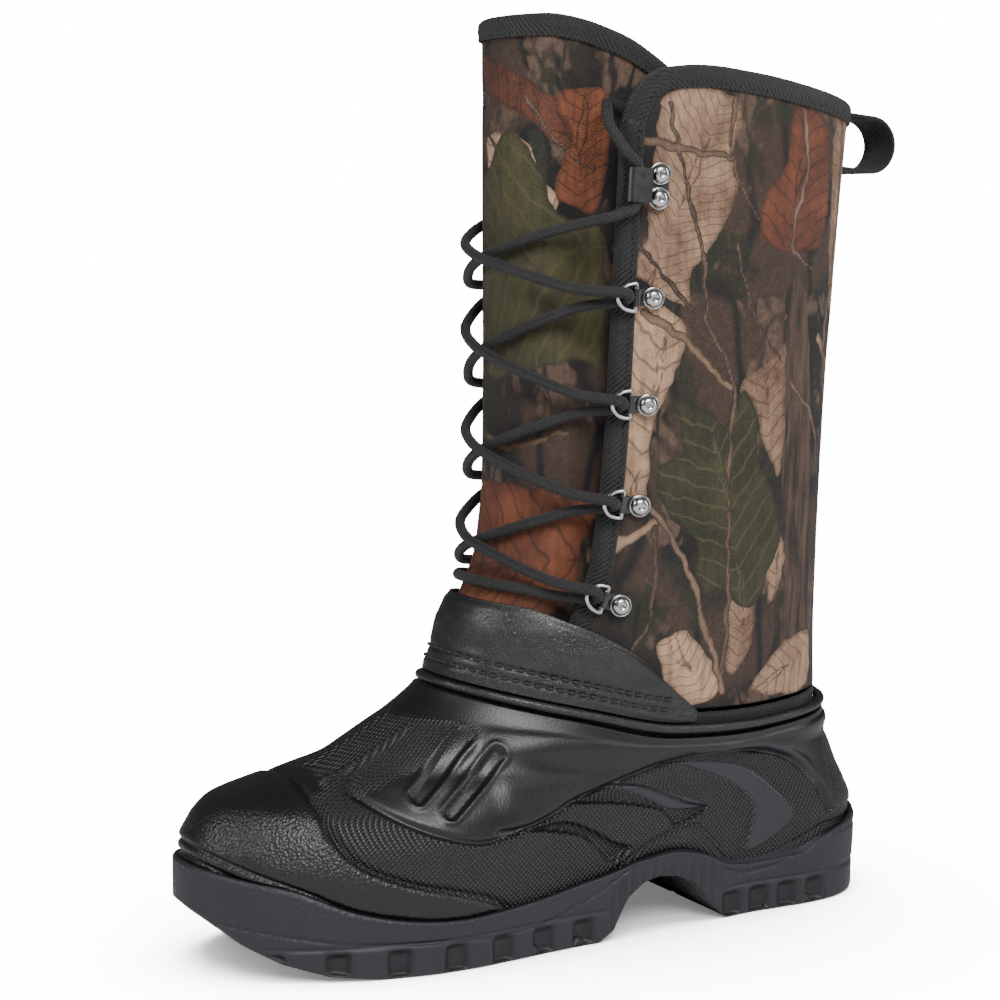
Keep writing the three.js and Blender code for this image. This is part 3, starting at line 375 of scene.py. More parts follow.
def slab(outer: Array, inner: Array, values: dict, wrap: bool = False, keep: Array | None = None) -> Shape:
    """Closed body between two grids of points (columns, rows, 3): two faces and the walls round them.

    Args:
        outer: points of the outer face.
        inner: points of the inner face.
        values: values for each grid point, used on both faces.
        wrap: the last column joins the first.
        keep: the rows of a plainer inner face. Such a body goes round, and the points of its first row
            meet in pairs on a middle line, so there is no wall along that row.

    Returns:
        The closed shape, its faces pointing outwards for columns that go round and rows that go up.
    """
    columns, rows = outer.shape[:2]
    kept = np.arange(rows) if keep is None else keep
    n, m = columns * rows, len(kept)
    index = np.arange(n).reshape(columns, rows)
    back = n + np.arange(columns * m).reshape(columns, m)
    faces = [grid_faces(columns, rows, wrap_rows=wrap), grid_faces(columns, m, wrap_rows=wrap)[:, ::-1] + n]
    following = lambda a: np.roll(a, -1, axis=0) if wrap else a[1:]
    ahead, ahead_back = following(index), following(back)
    here, here_back = index[:len(ahead)], back[:len(ahead)]
    if keep is None:
        faces.append(np.stack([here[:, 0], here_back[:, 0], ahead_back[:, 0], ahead[:, 0]], axis=-1))
    faces.append(np.stack([here[:, -1], ahead[:, -1], ahead_back[:, -1], here_back[:, -1]], axis=-1))
    if not wrap:
        faces.append(np.stack([index[0, :-1], index[0, 1:], back[0, 1:], back[0, :-1]], axis=-1))
        faces.append(np.stack([index[-1, :-1], back[-1, :-1], back[-1, 1:], index[-1, 1:]], axis=-1))
    flat = lambda v: v.reshape((-1,) + v.shape[2:])
    both = {k: np.concatenate([flat(v), flat(v[:, kept])]) for k, v in values.items()}
    return Shape(np.concatenate([flat(outer), flat(inner[:, kept])]), np.concatenate(faces), both)


def path_frames(path: Array, up: Array, closed: bool = False) -> tuple[Array, Array, Array]:
    """Directions along a path: along it, and two across it that turn as little as they can.

    Args:
        path: points (N, 3).
        up: first direction across, roughly; one vector, or one for each point.
        closed: the path joins its start.

    Returns:
        Unit vectors along, side and up, each (N, 3).
    """
    ahead = np.roll(path, -1, axis=0) if closed else np.concatenate([path[1:], path[-1:]])
    behind = np.roll(path, 1, axis=0) if closed else np.concatenate([path[:1], path[:-1]])
    along = unit(ahead - behind)
    if np.ndim(up) == 2:
        high = unit(up - along * (up * along).sum(axis=1, keepdims=True))
        return along, np.cross(along, high), high
    high = np.zeros_like(path)
    current = np.asarray(up, float)
    for i, direction in enumerate(along):
        current = unit(current - direction * (current @ direction))
        high[i] = current
    return along, np.cross(along, high), high


def sweep(path: Array, profile: Array, up: Array, closed: bool = False) -> Shape:
    """Carry a closed profile along a path: each profile point (a, b) goes a to the side and b up.

    Args:
        path: points (N, 3).
        profile: outline (M, 2), or one outline for each path point (N, M, 2).
        up: direction that b follows, one vector or one for each point.
        closed: the path joins its start, and no ends are needed.

    Returns:
        A closed shape with uv values: length along the path and length round the profile.
    """
    along, side, high = path_frames(path, up, closed)
    outline = np.broadcast_to(profile, (len(path),) + profile.shape[-2:])
    points = path[:, None] + outline[..., :1] * side[:, None] + outline[..., 1:] * high[:, None]
    n, m = points.shape[:2]
    faces = [grid_faces(n, m, wrap_rows=closed, wrap_columns=True)]
    length = run_length(path)
    rim = outline[0]
    about = run_length(rim)
    uv = np.stack(np.broadcast_arrays(length[:, None], about[None]), axis=-1).reshape(-1, 2)
    flat = points.reshape(-1, 3)
    if not closed:
        ends = np.stack([points[0].mean(axis=0), points[-1].mean(axis=0)])
        k = np.arange(m)
        nxt = (k + 1) % m
        start, last = n * m, (n - 1) * m
        faces.append(np.stack([np.full(m, start), k, nxt, nxt], axis=-1))
        faces.append(np.stack([np.full(m, start + 1), last + nxt, last + k, last + k], axis=-1))
        flat = np.concatenate([flat, ends])
        uv = np.concatenate([uv, uv[[0, -1]]])
    return Shape(flat, np.concatenate(faces), {"cloth": uv})


def circle(radius: float, sides: int) -> Array:
    """Outline of a circle, (sides, 2)."""
    a = np.arange(sides) * 2 * np.pi / sides
    return radius * np.stack([np.cos(a), np.sin(a)], axis=1)


def box_outline(width: float, height: float, corner: float, per_corner: int = 4) -> Array:
    """Outline of a rectangle with round corners, centred on the path."""
    a = np.linspace(0, np.pi / 2, per_corner)
    arcs = []
    for k, (sx, sy) in enumerate(((1, 1), (-1, 1), (-1, -1), (1, -1))):
        centre = np.array([sx * (width / 2 - corner), sy * (height / 2 - corner)])
        turn = a + k * np.pi / 2
        arcs.append(centre + corner * np.stack([np.cos(turn), np.sin(turn)], axis=1))
    return np.concatenate(arcs)


def lathe(profile: Array, sides: int) -> Shape:
    """Turn a profile of (radius, height) points about the z axis; it starts and ends on the axis."""
    a = np.arange(sides) * 2 * np.pi / sides
    r, z = profile[:, 0], profile[:, 1]
    points = np.stack([r[None] * np.cos(a)[:, None], r[None] * np.sin(a)[:, None],
                       np.broadcast_to(z, (sides, len(z)))], axis=-1)
    faces = grid_faces(sides, len(z), wrap_rows=True)
    return Shape(points.reshape(-1, 3), faces, {})


def make_piece(name: str, shape: Shape, material: bpy.types.Material, slot: Slot, replaces: tuple = (),
               body: str = "root", soft: bool = True, bevel: float = 0.0) -> bpy.types.Object:
    """Put a shape into the scene as a piece of the boot.

    Args:
        name: the piece's name.
        shape: points in millimetres on the last; they are moved into the frame in metres.
        material: its finish.
        slot: the record's slot that the finish stands for; not used.
        replaces: CAD nodes that the piece stands for.
        body: the body that it rides on, or "" where it is blended later.
        soft: shade it smooth.
        bevel: width of a bevel on its sharp edges, in millimetres, 0 for none.

    Returns:
        The object, at the origin, with its place in its mesh.
    """
    mesh = bpy.data.meshes.new(name)
    points = (shape.points + SHIFT) * MM
    mesh.vertices.add(len(points))
    mesh.vertices.foreach_set("co", points.astype(np.float32).ravel())
    triangular = shape.faces[:, 2] == shape.faces[:, 3]
    corners = np.where(triangular, 3, 4)
    used = np.ones_like(shape.faces, bool)
    used[:, 3] = ~triangular
    mesh.loops.add(int(corners.sum()))
    mesh.loops.foreach_set("vertex_index", shape.faces[used].astype(np.int32))
    mesh.polygons.add(len(corners))
    mesh.polygons.foreach_set("loop_start", np.concatenate([[0], np.cumsum(corners)[:-1]]).astype(np.int32))
    mesh.update(calc_edges=True)
    for key, values in shape.values.items():
        if values.ndim == 2:
            layer = mesh.attributes.new(key, "FLOAT_VECTOR", "POINT")
            flat = np.zeros((len(points), 3), np.float32)
            flat[:, :values.shape[1]] = values
            layer.data.foreach_set("vector", flat.ravel())
        else:
            layer = mesh.attributes.new(key, "FLOAT", "POINT")
            layer.data.foreach_set("value", values.astype(np.float32).ravel())
    work = bmesh.new()
    work.from_mesh(mesh)
    bmesh.ops.remove_doubles(work, verts=work.verts, dist=2e-6)
    bmesh.ops.dissolve_degenerate(work, edges=work.edges, dist=1e-7)
    bmesh.ops.recalc_face_normals(work, faces=work.faces)
    if work.calc_volume(signed=True) < 0:
        bmesh.ops.reverse_faces(work, faces=work.faces)
    work.to_mesh(mesh)
    work.free()
    mesh.shade_smooth() if soft else mesh.shade_flat()
    mesh.materials.append(material)
    piece = bpy.data.objects.new(name, mesh)
    bpy.context.scene.collection.objects.link(piece)
    if bevel:
        edge = piece.modifiers.new("edges", "BEVEL")
        edge.width = bevel * MM
        edge.segments = 2
        edge.limit_method = "ANGLE"
        mesh.set_sharp_from_angle(angle=np.radians(40))
    if replaces:
        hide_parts(*replaces)
    if body:
        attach(piece, body)
    log.info("%s: %d faces", name, len(mesh.polygons))
    return piece


# ---------------------------------------------------------------- finishes
class Graph:
    """A material's node tree, built by short calls that return sockets."""

    def __init__(self, name: str) -> None:
        """Start a material of that name with a plain shader."""
        self.material = bpy.data.materials.new(name)
        self.material.use_nodes = True
        self.nodes = self.material.node_tree.nodes
        self.links = self.material.node_tree.links
        self.shader = self.nodes["Principled BSDF"]

    def put(self, socket: Socket, value: Input) -> None:
        """Link a socket, or set its value."""
        if isinstance(value, bpy.types.NodeSocket):
            self.links.new(value, socket)
        elif isinstance(value, tuple) and len(value) == 3 and socket.type == "RGBA":
            socket.default_value = (*value, 1.0)
        else:
            socket.default_value = value

    def node(self, kind: str, inputs: dict, **settings: object) -> bpy.types.Node:
        """Add a node with settings and inputs given by name or number."""
        node = self.nodes.new("ShaderNode" + kind)
        for key, value in settings.items():
            setattr(node, key, value)
        for key, value in inputs.items():
            self.put(node.inputs[key], value)
        return node

    def math(self, operation: str, a: Input, b: Input = 0.0, clamp: bool = False) -> Socket:
        """A Math node's result."""
        return self.node("Math", {0: a, 1: b}, operation=operation, use_clamp=clamp).outputs[0]

    def mix(self, factor: Input, a: Input, b: Input, blend: str = "MIX") -> Socket:
        """Colours a and b, blended by a factor."""
        node = self.node("Mix", {0: factor, 6: a, 7: b}, data_type="RGBA", blend_type=blend)
        return node.outputs[2]

    def step(self, value: Input, low: float, high: float) -> Socket:
        """0 where value is below low, 1 above high, smooth between."""
        inputs = {"Value": value, "From Min": low, "From Max": high}
        return self.node("MapRange", inputs, interpolation_type="SMOOTHSTEP").outputs[0]

    def remap(self, value: Input, low: float, high: float, to_low: float, to_high: float) -> Socket:
        """Value from one range to another, held at its ends."""
        inputs = {"Value": value, "From Min": low, "From Max": high, "To Min": to_low, "To Max": to_high}
        return self.node("MapRange", inputs).outputs[0]

    def place(self, stretch: tuple = (1, 1, 1), turn: tuple = (0, 0, 0)) -> Socket:
        """Object coordinates, stretched and turned."""
        here = self.node("TexCoord", {}).outputs["Object"]
        return self.node("Mapping", {"Vector": here, "Scale": stretch, "Rotation": turn}).outputs[0]

    def value(self, name: str) -> Socket:
        """One number that the mesh holds at each point."""
        return self.node("Attribute", {}, attribute_name=name).outputs["Fac"]

    def vector(self, name: str) -> Socket:
        """Three numbers that the mesh holds at each point."""
        return self.node("Attribute", {}, attribute_name=name).outputs["Vector"]

    def parts(self, vector: Socket) -> bpy.types.bpy_prop_collection:
        """The three numbers of a vector."""
        return self.node("SeparateXYZ", {0: vector}).outputs

    def noise(self, vector: Socket, scale: float, detail: float = 3.0, roughness: float = 0.55) -> Socket:
        """Noise in 0..1."""
        inputs = {"Vector": vector, "Scale": scale, "Detail": detail, "Roughness": roughness}
        return self.node("TexNoise", inputs).outputs[0]

    def cells(self, vector: Socket, scale: float, feature: str = "F1") -> Socket:
        """Distance to the nearest of scattered points, or to the edge between two."""
        inputs = {"Vector": vector, "Scale": scale}
        return self.node("TexVoronoi", inputs, feature=feature).outputs["Distance"]

    def wave(self, value: Input, pitch: float) -> Socket:
        """sin(2 pi value / pitch), in 0..1."""
        turned = self.math("SINE", self.math("MULTIPLY", value, 2 * np.pi / pitch))
        return self.remap(turned, -1, 1, 0, 1)

    def bump(self, height: Socket, depth: float, strength: float = 1.0,
             normal: Socket | None = None) -> Socket:
        """Surface direction tilted by a height; depth is in metres."""
        inputs = {"Height": height, "Distance": depth, "Strength": strength}
        if normal is not None:
            inputs["Normal"] = normal
        return self.node("Bump", inputs).outputs[0]

    def finish(self, colour: Input, roughness: Input, normal: Socket | None = None,
               **sockets: Input) -> bpy.types.Material:
        """Set the shader's sockets and return the material."""
        self.put(self.shader.inputs["Base Color"], colour)
        self.put(self.shader.inputs["Roughness"], roughness)
        if normal is not None:
            self.put(self.shader.inputs["Normal"], normal)
        for key, value in sockets.items():
            self.put(self.shader.inputs[key.replace("_", " ")], value)
        return self.material


@dataclass(frozen=True)
class ShellFoam:
    """Black moulded foam: pebbled on the toe cap, dotted on the panels with a painted highlight on each dot,
    blue-grey in the heel inlays.
    """

    black: tuple = (0.0030, 0.0031, 0.0034)
    grey: tuple = (0.0115, 0.0130, 0.0185)
    dot_pitch: float = 2.3

    def make(self) -> bpy.types.Material:
        """The material; it reads the values pebble, dots and inlay, and the chart in millimetres."""
        g = Graph("moulded foam")
        here = g.place()
        a, b, _ = g.parts(g.vector("cloth"))
        sum_wave = g.wave(g.math("ADD", a, b), self.dot_pitch)
        gap_wave = g.wave(g.math("SUBTRACT", a, b), self.dot_pitch)
        dots = g.math("MULTIPLY", g.math("MULTIPLY", sum_wave, gap_wave), g.value("dots"))
        pebble = g.math("MULTIPLY", g.cells(here, 880), g.value("pebble"))
        grain = g.noise(here, 900, 2)
        height = g.math("ADD", g.math("MULTIPLY", dots, 1.2), g.math("MULTIPLY", pebble, 0.42))
        height = g.math("ADD", height, g.math("MULTIPLY", grain, 0.16))
        colour = g.mix(g.value("inlay"), self.black, self.grey)
        dusty = g.noise(here, 26, 4)
        colour = g.mix(g.remap(dusty, 0.35, 0.8, 0.0, 0.22), colour, (0.012, 0.0125, 0.0135))
        # Painted highlight: the raised dots are lighter than the foam between them.
        colour = g.mix(g.math("MULTIPLY", dots, 0.35), colour, (0.020, 0.021, 0.024))
        dulled = g.math("MULTIPLY", g.value("dots"), 0.06)
        rough = g.math("ADD", g.remap(dusty, 0.3, 0.75, 0.36, 0.47), dulled)
        return g.finish(colour, rough, g.bump(height, 0.00075, 0.85), Specular_IOR_Level=0.48)


@dataclass(frozen=True)
class SoleRubber:
    """Dark blue-grey sole rubber, matt, lighter in broad mottled patches, with painted shade in its recesses.
    """

    colour: tuple = (0.0078, 0.0090, 0.0125)
    # Colour of the painted shade in the lugs' hollows, the arch's grooves and the tread's slots.
    recess: tuple = (0.0050, 0.0054, 0.0068)

    def make(self) -> bpy.types.Material:
        """The material; a value that is 1 in the lugs' hollows, and rises with the depth of the tread's
        slots, darkens the colour there as painted shade.
        """
        g = Graph("sole rubber")
        here = g.place()
        grain = g.noise(here, 1300, 3)
        mottled = g.noise(here, 55, 4)
        # Painted shade: darker where the mesh marks hollows and slots.
        colour = g.mix(g.value("recess"), self.colour, self.recess)
        colour = g.mix(g.remap(mottled, 0.4, 0.8, 0, 0.25), colour, (0.019, 0.021, 0.027))
        stipple = g.math("MULTIPLY", g.cells(here, 520), g.value("pebble"))
        height = g.math("ADD", g.math("MULTIPLY", grain, 0.3), stipple)
        return g.finish(colour, g.remap(mottled, 0.3, 0.8, 0.50, 0.64), g.bump(height, 0.0004, 0.7))


@dataclass(frozen=True)
class PrintTone:
    """Dark and light colours of one kind of thing in the print, and of its veins."""

    dark: tuple
    light: tuple
    vein: tuple


class Kind(Enum):
    """What the print shows, from the bottom layer to the top."""

    PALE = "pale"
    GRASS = "grass"
    GREEN = "green"
    RUST = "rust"
    TWIG = "twig"


TONES = {
    Kind.PALE: PrintTone((0.115, 0.054, 0.031), (0.66, 0.415, 0.265), (0.050, 0.024, 0.015)),
    Kind.GRASS: PrintTone((0.15, 0.082, 0.048), (0.50, 0.310, 0.190), (0.045, 0.026, 0.017)),
    Kind.GREEN: PrintTone((0.0130, 0.0150, 0.0065), (0.078, 0.070, 0.024), (0.100, 0.088, 0.040)),
    Kind.RUST: PrintTone((0.046, 0.015, 0.009), (0.310, 0.092, 0.038), (0.020, 0.009, 0.006)),
    Kind.TWIG: PrintTone((0.065, 0.035, 0.022), (0.42, 0.255, 0.165), (0.012, 0.008, 0.006)),
}


@dataclass(frozen=True)
class WoodlandPrint:
    """Twill fabric printed with leaves, grass, twigs and bark over shadow."""

    shadow: tuple = (0.0048, 0.0044, 0.0043)
    soil: tuple = (0.026, 0.016, 0.0115)
    twill: float = 1.05
    litter: tuple = ((34, (0.085, 0.047, 0.031), 0.5), (52, (0.026, 0.025, 0.011), 0.56),
                     (78, (0.17, 0.102, 0.066), 0.6))

    def fragments(self, g: Graph, under: Input, size: float, tint: tuple, cover: float, seed: int) -> Socket:
        """Blurred leaf litter: cells with dark rims, shown where a broad noise is high.

        Args:
            g: the material's graph.
            under: colour below.
            size: cells for each metre.
            tint: colour of the litter.
            cover: level of the broad noise above which it shows.
            seed: moves the pattern.

        Returns:
            The colour with the litter on it.
        """
        turned = g.place((1, 1, 0.45), (0.5 * seed, 0.3 + 0.6 * seed, 0.2))
        drift = g.node("TexNoise", {"Vector": turned, "Scale": size * 0.8}).outputs["Color"]
        place = g.node("VectorMath", {0: drift, 1: (0.012, 0.012, 0.012), 2: turned},
                       operation="MULTIPLY_ADD").outputs[0]
        rim = g.step(g.cells(place, size, "DISTANCE_TO_EDGE"), 0.015, 0.10)
        broad = g.noise(g.place((1, 1, 0.8), (seed, 0, 0)), size * 0.5, 3, 0.6)
        shown = g.step(broad, cover - 0.05, cover + 0.02)
        grain = g.noise(g.place(), 380, 4, 0.7)
        colour = g.mix(g.remap(grain, 0.3, 0.75, 0, 0.65), tint, self.shadow)
        return g.mix(g.math("MULTIPLY", rim, g.math("MULTIPLY", shown, 0.85)), under, colour)

    def layer(self, g: Graph, kind: Kind, under: Input) -> Socket:
        """One kind of thing over what is under it.

        Args:
            g: the material's graph.
            kind: what the layer shows; the mesh holds (edge distance, across, vein count) and a tone.
            under: colour below the layer.

        Returns:
            The colour with the layer on it.
        """
        tone = TONES[kind]
        edge, across, count = g.parts(g.vector(kind.value))
        shade = g.value(kind.value + "_tone")
        grain = g.noise(g.place((1, 1, 1)), 170, 5, 0.7)
        streak = g.noise(g.place((420, 420, 40)), 1.0, 3)
        mixed = g.math("ADD", g.math("MULTIPLY", shade, 0.55), g.math("MULTIPLY", grain, 0.75))
        colour = g.mix(g.remap(mixed, 0.25, 0.95, 0, 1), tone.dark, tone.light)
        colour = g.mix(g.remap(streak, 0.45, 0.75, 0, 0.5), colour, tone.dark)
        rib = g.math("SUBTRACT", 1.0, g.step(g.math("ABSOLUTE", across), 0.25, 0.75))
        phase = g.math("ABSOLUTE", g.math("SUBTRACT", g.math("FRACT", count), 0.5))
        side = g.math("SUBTRACT", 1.0, g.step(phase, 0.035, 0.10))
        veins = g.math("MAXIMUM", rib, g.math("MULTIPLY", side, 0.75))
        if kind in (Kind.TWIG, Kind.GRASS):
            veins = g.math("SUBTRACT", 1.0, g.step(edge, 0.15, 0.75))
        colour = g.mix(g.math("MULTIPLY", veins, 0.72), colour, tone.vein)
        rim = g.step(edge, 0.0, 2.4)
        colour = g.mix(g.remap(rim, 0, 1, 0.45, 0.0), colour, self.shadow)
        return g.mix(g.step(edge, -0.12, 0.12), under, colour)

    def make(self) -> bpy.types.Material:
        """The material, with the twill's ridges in its bump, and painted shade between them in its colour."""
        g = Graph("printed twill")
        here = g.place()
        broad = g.noise(here, 22, 4, 0.6)
        ground = g.mix(g.remap(broad, 0.42, 0.72, 0, 0.85), self.shadow, self.soil)
        for index, (size, tint, cover) in enumerate(self.litter):
            ground = self.fragments(g, ground, size, tint, cover, index)
        bark = g.noise(g.place((260, 260, 26)), 1.0, 5, 0.62)
        barked = g.mix(g.remap(bark, 0.38, 0.66, 0, 1), (0.011, 0.0075, 0.006), (0.135, 0.076, 0.050))
        ground = g.mix(g.step(g.value("bark"), -0.5, 0.5), ground, barked)
        for kind in Kind:
            ground = self.layer(g, kind, ground)
        a, b, _ = g.parts(g.vector("cloth"))
        ridge = g.wave(g.math("ADD", a, g.math("MULTIPLY", b, 1.0)), self.twill)
        yarn = g.wave(g.math("SUBTRACT", a, g.math("MULTIPLY", b, 1.7)), self.twill * 0.8)
        weave = g.math("ADD", g.math("MULTIPLY", ridge, 0.7), g.math("MULTIPLY", yarn, 0.3))
        # Painted shade: the colour darkens in the twill's valleys between the ridges.
        colour = g.mix(g.remap(weave, 0.1, 0.9, 0.50, 0.0), ground, (0.004, 0.0035, 0.0035))
        fuzz = g.noise(here, 60, 3)
        return g.finish(colour, g.remap(fuzz, 0.3, 0.7, 0.56, 0.70), g.bump(weave, 0.00030, 0.9),
                        Sheen_Weight=0.04, Sheen_Roughness=0.4, Specular_IOR_Level=0.36)


@dataclass(frozen=True)
class Cloth:
    """Plain woven or knitted cloth: ribs along one way of the piece's own coordinates, a painted highlight on
    the ribs, and lint.
    """

    name: str
    colour: tuple
    # Pale colour of the painted highlight on the ribs, and of the lint.
    lint_and_highlight: tuple
    rib: float
    slant: float = 0.0
    depth: float = 0.00025
    roughness: float = 0.82
    sheen: float = 0.25

    def make(self) -> bpy.types.Material:
        """The material; the ribs follow the value cloth, in millimetres."""
        g = Graph(self.name)
        here = g.place()
        a, b, _ = g.parts(g.vector("cloth"))
        rib = g.wave(g.math("ADD", a, g.math("MULTIPLY", b, self.slant)), self.rib)
        pick = g.wave(g.math("SUBTRACT", b, g.math("MULTIPLY", a, self.slant)), self.rib * 0.55)
        fuzz = g.noise(here, 1500, 3, 0.7)
        height = g.math("ADD", rib, g.math("MULTIPLY", g.math("ADD", pick, fuzz), 0.35))
        patch = g.noise(here, 90, 4)
        # Painted highlight: the ribs' tops are lighter; lint patches lighten it at random.
        colour = g.mix(g.remap(rib, 0.2, 1.0, 0.0, 0.35), self.colour, self.lint_and_highlight)
        colour = g.mix(g.remap(patch, 0.55, 0.85, 0, 0.3), colour, self.lint_and_highlight)
        return g.finish(colour, self.roughness, g.bump(height, self.depth, 0.8),
                        Sheen_Weight=self.sheen, Sheen_Roughness=0.45)


@dataclass(frozen=True)
class Fleece:
    """Fleece or felt: soft clumps and single fibres."""

    name: str
    dark: tuple
    light: tuple
    clump: float = 330.0

    def make(self) -> bpy.types.Material:
        """The material, all from noise in place."""
        g = Graph(self.name)
        here = g.place()
        clumps = g.cells(here, self.clump)
        fibres = g.noise(here, 2200, 4, 0.75)
        height = g.math("ADD", clumps, g.math("MULTIPLY", fibres, 0.5))
        colour = g.mix(g.remap(height, 0.35, 1.0, 0, 1), self.light, self.dark)
        return g.finish(colour, 0.95, g.bump(height, 0.0008, 0.9), Sheen_Weight=0.5, Sheen_Roughness=0.5)


@dataclass(frozen=True)
class GrainLeather:
    """Black coated leather with a fine grain, duller and a little lighter in broad patches."""

    colour: tuple = (0.0029, 0.0029, 0.0031)

    def make(self) -> bpy.types.Material:
        """The material: cells of grain with creases between them."""
        g = Graph("grained leather")
        here = g.place()
        cells = g.cells(here, 850, "DISTANCE_TO_EDGE")
        crease = g.step(cells, 0.0, 0.12)
        broad = g.noise(here, 45, 4)
        colour = g.mix(g.remap(broad, 0.45, 0.8, 0, 0.4), self.colour, (0.0105, 0.0102, 0.0105))
        height = g.math("ADD", crease, g.math("MULTIPLY", g.noise(here, 120, 3), 0.8))
        return g.finish(colour, g.remap(broad, 0.3, 0.75, 0.33, 0.46), g.bump(height, 0.00013, 0.6),
                        Specular_IOR_Level=0.6)


@dataclass(frozen=True)
class Metal:
    """Plated steel: fine scratches, and tarnish in patches."""

    name: str
    colour: tuple
    tarnish: tuple
    roughness: float

    def make(self) -> bpy.types.Material:
        """The material."""
        g = Graph(self.name)
        here = g.place()
        patch = g.noise(here, 260, 4, 0.65)
        scratch = g.noise(g.place((300, 300, 6000)), 1.0, 2)
        colour = g.mix(g.remap(patch, 0.45, 0.8, 0, 0.6), self.colour, self.tarnish)
        rough = g.remap(patch, 0.3, 0.8, self.roughness, self.roughness + 0.16)
        return g.finish(colour, rough, g.bump(g.math("ADD", scratch, patch), 0.000012, 0.4), Metallic=1.0)


@dataclass(frozen=True)
class Braid:
    """Round braided cord: two sets of strands that cross, read from the length and the turn round it, with a
    painted highlight on their crests.
    """

    colour: tuple = (0.0030, 0.0030, 0.0032)
    # Pale colour of the painted highlight on the strands' crests.
    lint_and_highlight: tuple = (0.0150, 0.0150, 0.0158)
    pitch: float = 3.4

    def make(self) -> bpy.types.Material:
        """The material; cloth holds the length along the cord and the length round it, in millimetres."""
        g = Graph("braided lace")
        a, b, _ = g.parts(g.vector("cloth"))
        one = g.wave(g.math("ADD", a, g.math("MULTIPLY", b, 1.2)), self.pitch / 2)
        two = g.wave(g.math("SUBTRACT", a, g.math("MULTIPLY", b, 1.2)), self.pitch / 2)
        strands = g.math("MAXIMUM", one, two)
        fuzz = g.noise(g.place(), 1700, 3)
        height = g.math("ADD", strands, g.math("MULTIPLY", fuzz, 0.3))
        # Painted highlight: the strands' crests are lighter.
        colour = g.mix(g.remap(strands, 0.5, 1.0, 0, 0.5), self.colour, self.lint_and_highlight)
        return g.finish(colour, 0.62, g.bump(height, 0.00045, 0.9), Sheen_Weight=0.05, Sheen_Roughness=0.4)


@dataclass(frozen=True)
class PlainTip:
    """Shrunk plastic of the lace's tips."""

    colour: tuple = (0.010, 0.010, 0.011)

    def make(self) -> bpy.types.Material:
        """The material."""
        g = Graph("lace tip")
        patch = g.noise(g.place(), 500, 3)
        return g.finish(g.mix(patch, self.colour, (0.02, 0.02, 0.022)), g.remap(patch, 0.3, 0.7, 0.25, 0.4),
                        g.bump(patch, 0.0001, 0.5))


class Finishes:
    """Every finish of the boot, made once."""

    def __init__(self) -> None:
        """Make the materials."""
        self.shell = ShellFoam().make()
        self.sole = SoleRubber().make()
        self.print = WoodlandPrint().make()
        # The second colour of each cloth serves its lint and the painted highlight on its ribs.
        self.binding = Cloth("binding twill", (0.0032, 0.0032, 0.0034), (0.0125, 0.0125, 0.0132), 2.3, 0.9,
                             0.0009, 0.6, 0.06).make()
        self.welt = Cloth("welt tape", (0.0032, 0.0031, 0.0031), (0.0125, 0.012, 0.012), 1.5, 0.0, 0.0004,
                          0.8, 0.06).make()
        self.webbing = Cloth("webbing", (0.0032, 0.0032, 0.0034), (0.0110, 0.0110, 0.0115), 1.3, 0.35,
                             0.0004, 0.75, 0.06).make()
        self.gusset = Cloth("gusset cloth", (0.006, 0.006, 0.0065), (0.016, 0.016, 0.017), 0.9, 0.5).make()
        self.thread = Cloth("thread", (0.0050, 0.0050, 0.0054), (0.022, 0.022, 0.023), 0.6, 1.0, 0.0001, 0.5,
                            0.06).make()
        self.leather = GrainLeather().make()
        self.fleece = Fleece("fleece lining", (0.035, 0.034, 0.033), (0.13, 0.125, 0.12)).make()
        self.felt = Fleece("felt", (0.10, 0.10, 0.098), (0.30, 0.295, 0.285), 700).make()
        self.bright = Metal("bright steel", (0.47, 0.47, 0.48), (0.22, 0.215, 0.21), 0.16).make()
        self.dark = Metal("gunmetal", (0.085, 0.085, 0.088), (0.035, 0.035, 0.036), 0.26).make()
        self.lace = Braid().make()
        self.tip = PlainTip().make()


# ---------------------------------------------------------------- the print
@dataclass(frozen=True)
class Leaf:
    """One leaf of the print: an outline in the cloth's millimetres, with a midrib and side veins."""

    kind: Kind
    outline: tuple
    spacing: float = 7.0

    def read(self, q: Array) -> Array:
        """Signed distance to the edge, distance from the midrib, and the count of side veins.

        Args:
            q: places on the cloth, (N, 2).

        Returns:
            (N, 3); the midrib is the outline's longest direction through its middle.
        """
        line = rounded(list(self.outline))
        centre = line.mean(axis=0)
        axis = np.linalg.svd(line - centre, full_matrices=False)[2][0]
        along = (q - centre) @ axis
        across = np.abs((q - centre) @ np.array([-axis[1], axis[0]]))
        across = np.abs(across + 1.5 * np.sin(along / 9))
        return np.stack([inside(q, line), across, (along + 0.7 * across) / self.spacing + 50], axis=1)


@dataclass(frozen=True)
class Stroke:
    """A twig or grass blade of the print: a line with a width at its start and its end."""

    kind: Kind
    line: tuple
    start: float
    end: float

    def read(self, q: Array) -> Array:
        """Signed distance to the edge, distance from the middle line, and a count that never marks."""
        path = resample(spline(self.line, 8), 4.0)
        width = np.linspace(self.start, self.end, len(path))
        distance = np.linalg.norm(q[:, None] - path[None], axis=2)
        near = distance.argmin(axis=1)
        edge = width[near] - line_distance(q, path)
        return np.stack([edge, distance.min(axis=1), np.zeros(len(q))], axis=1)


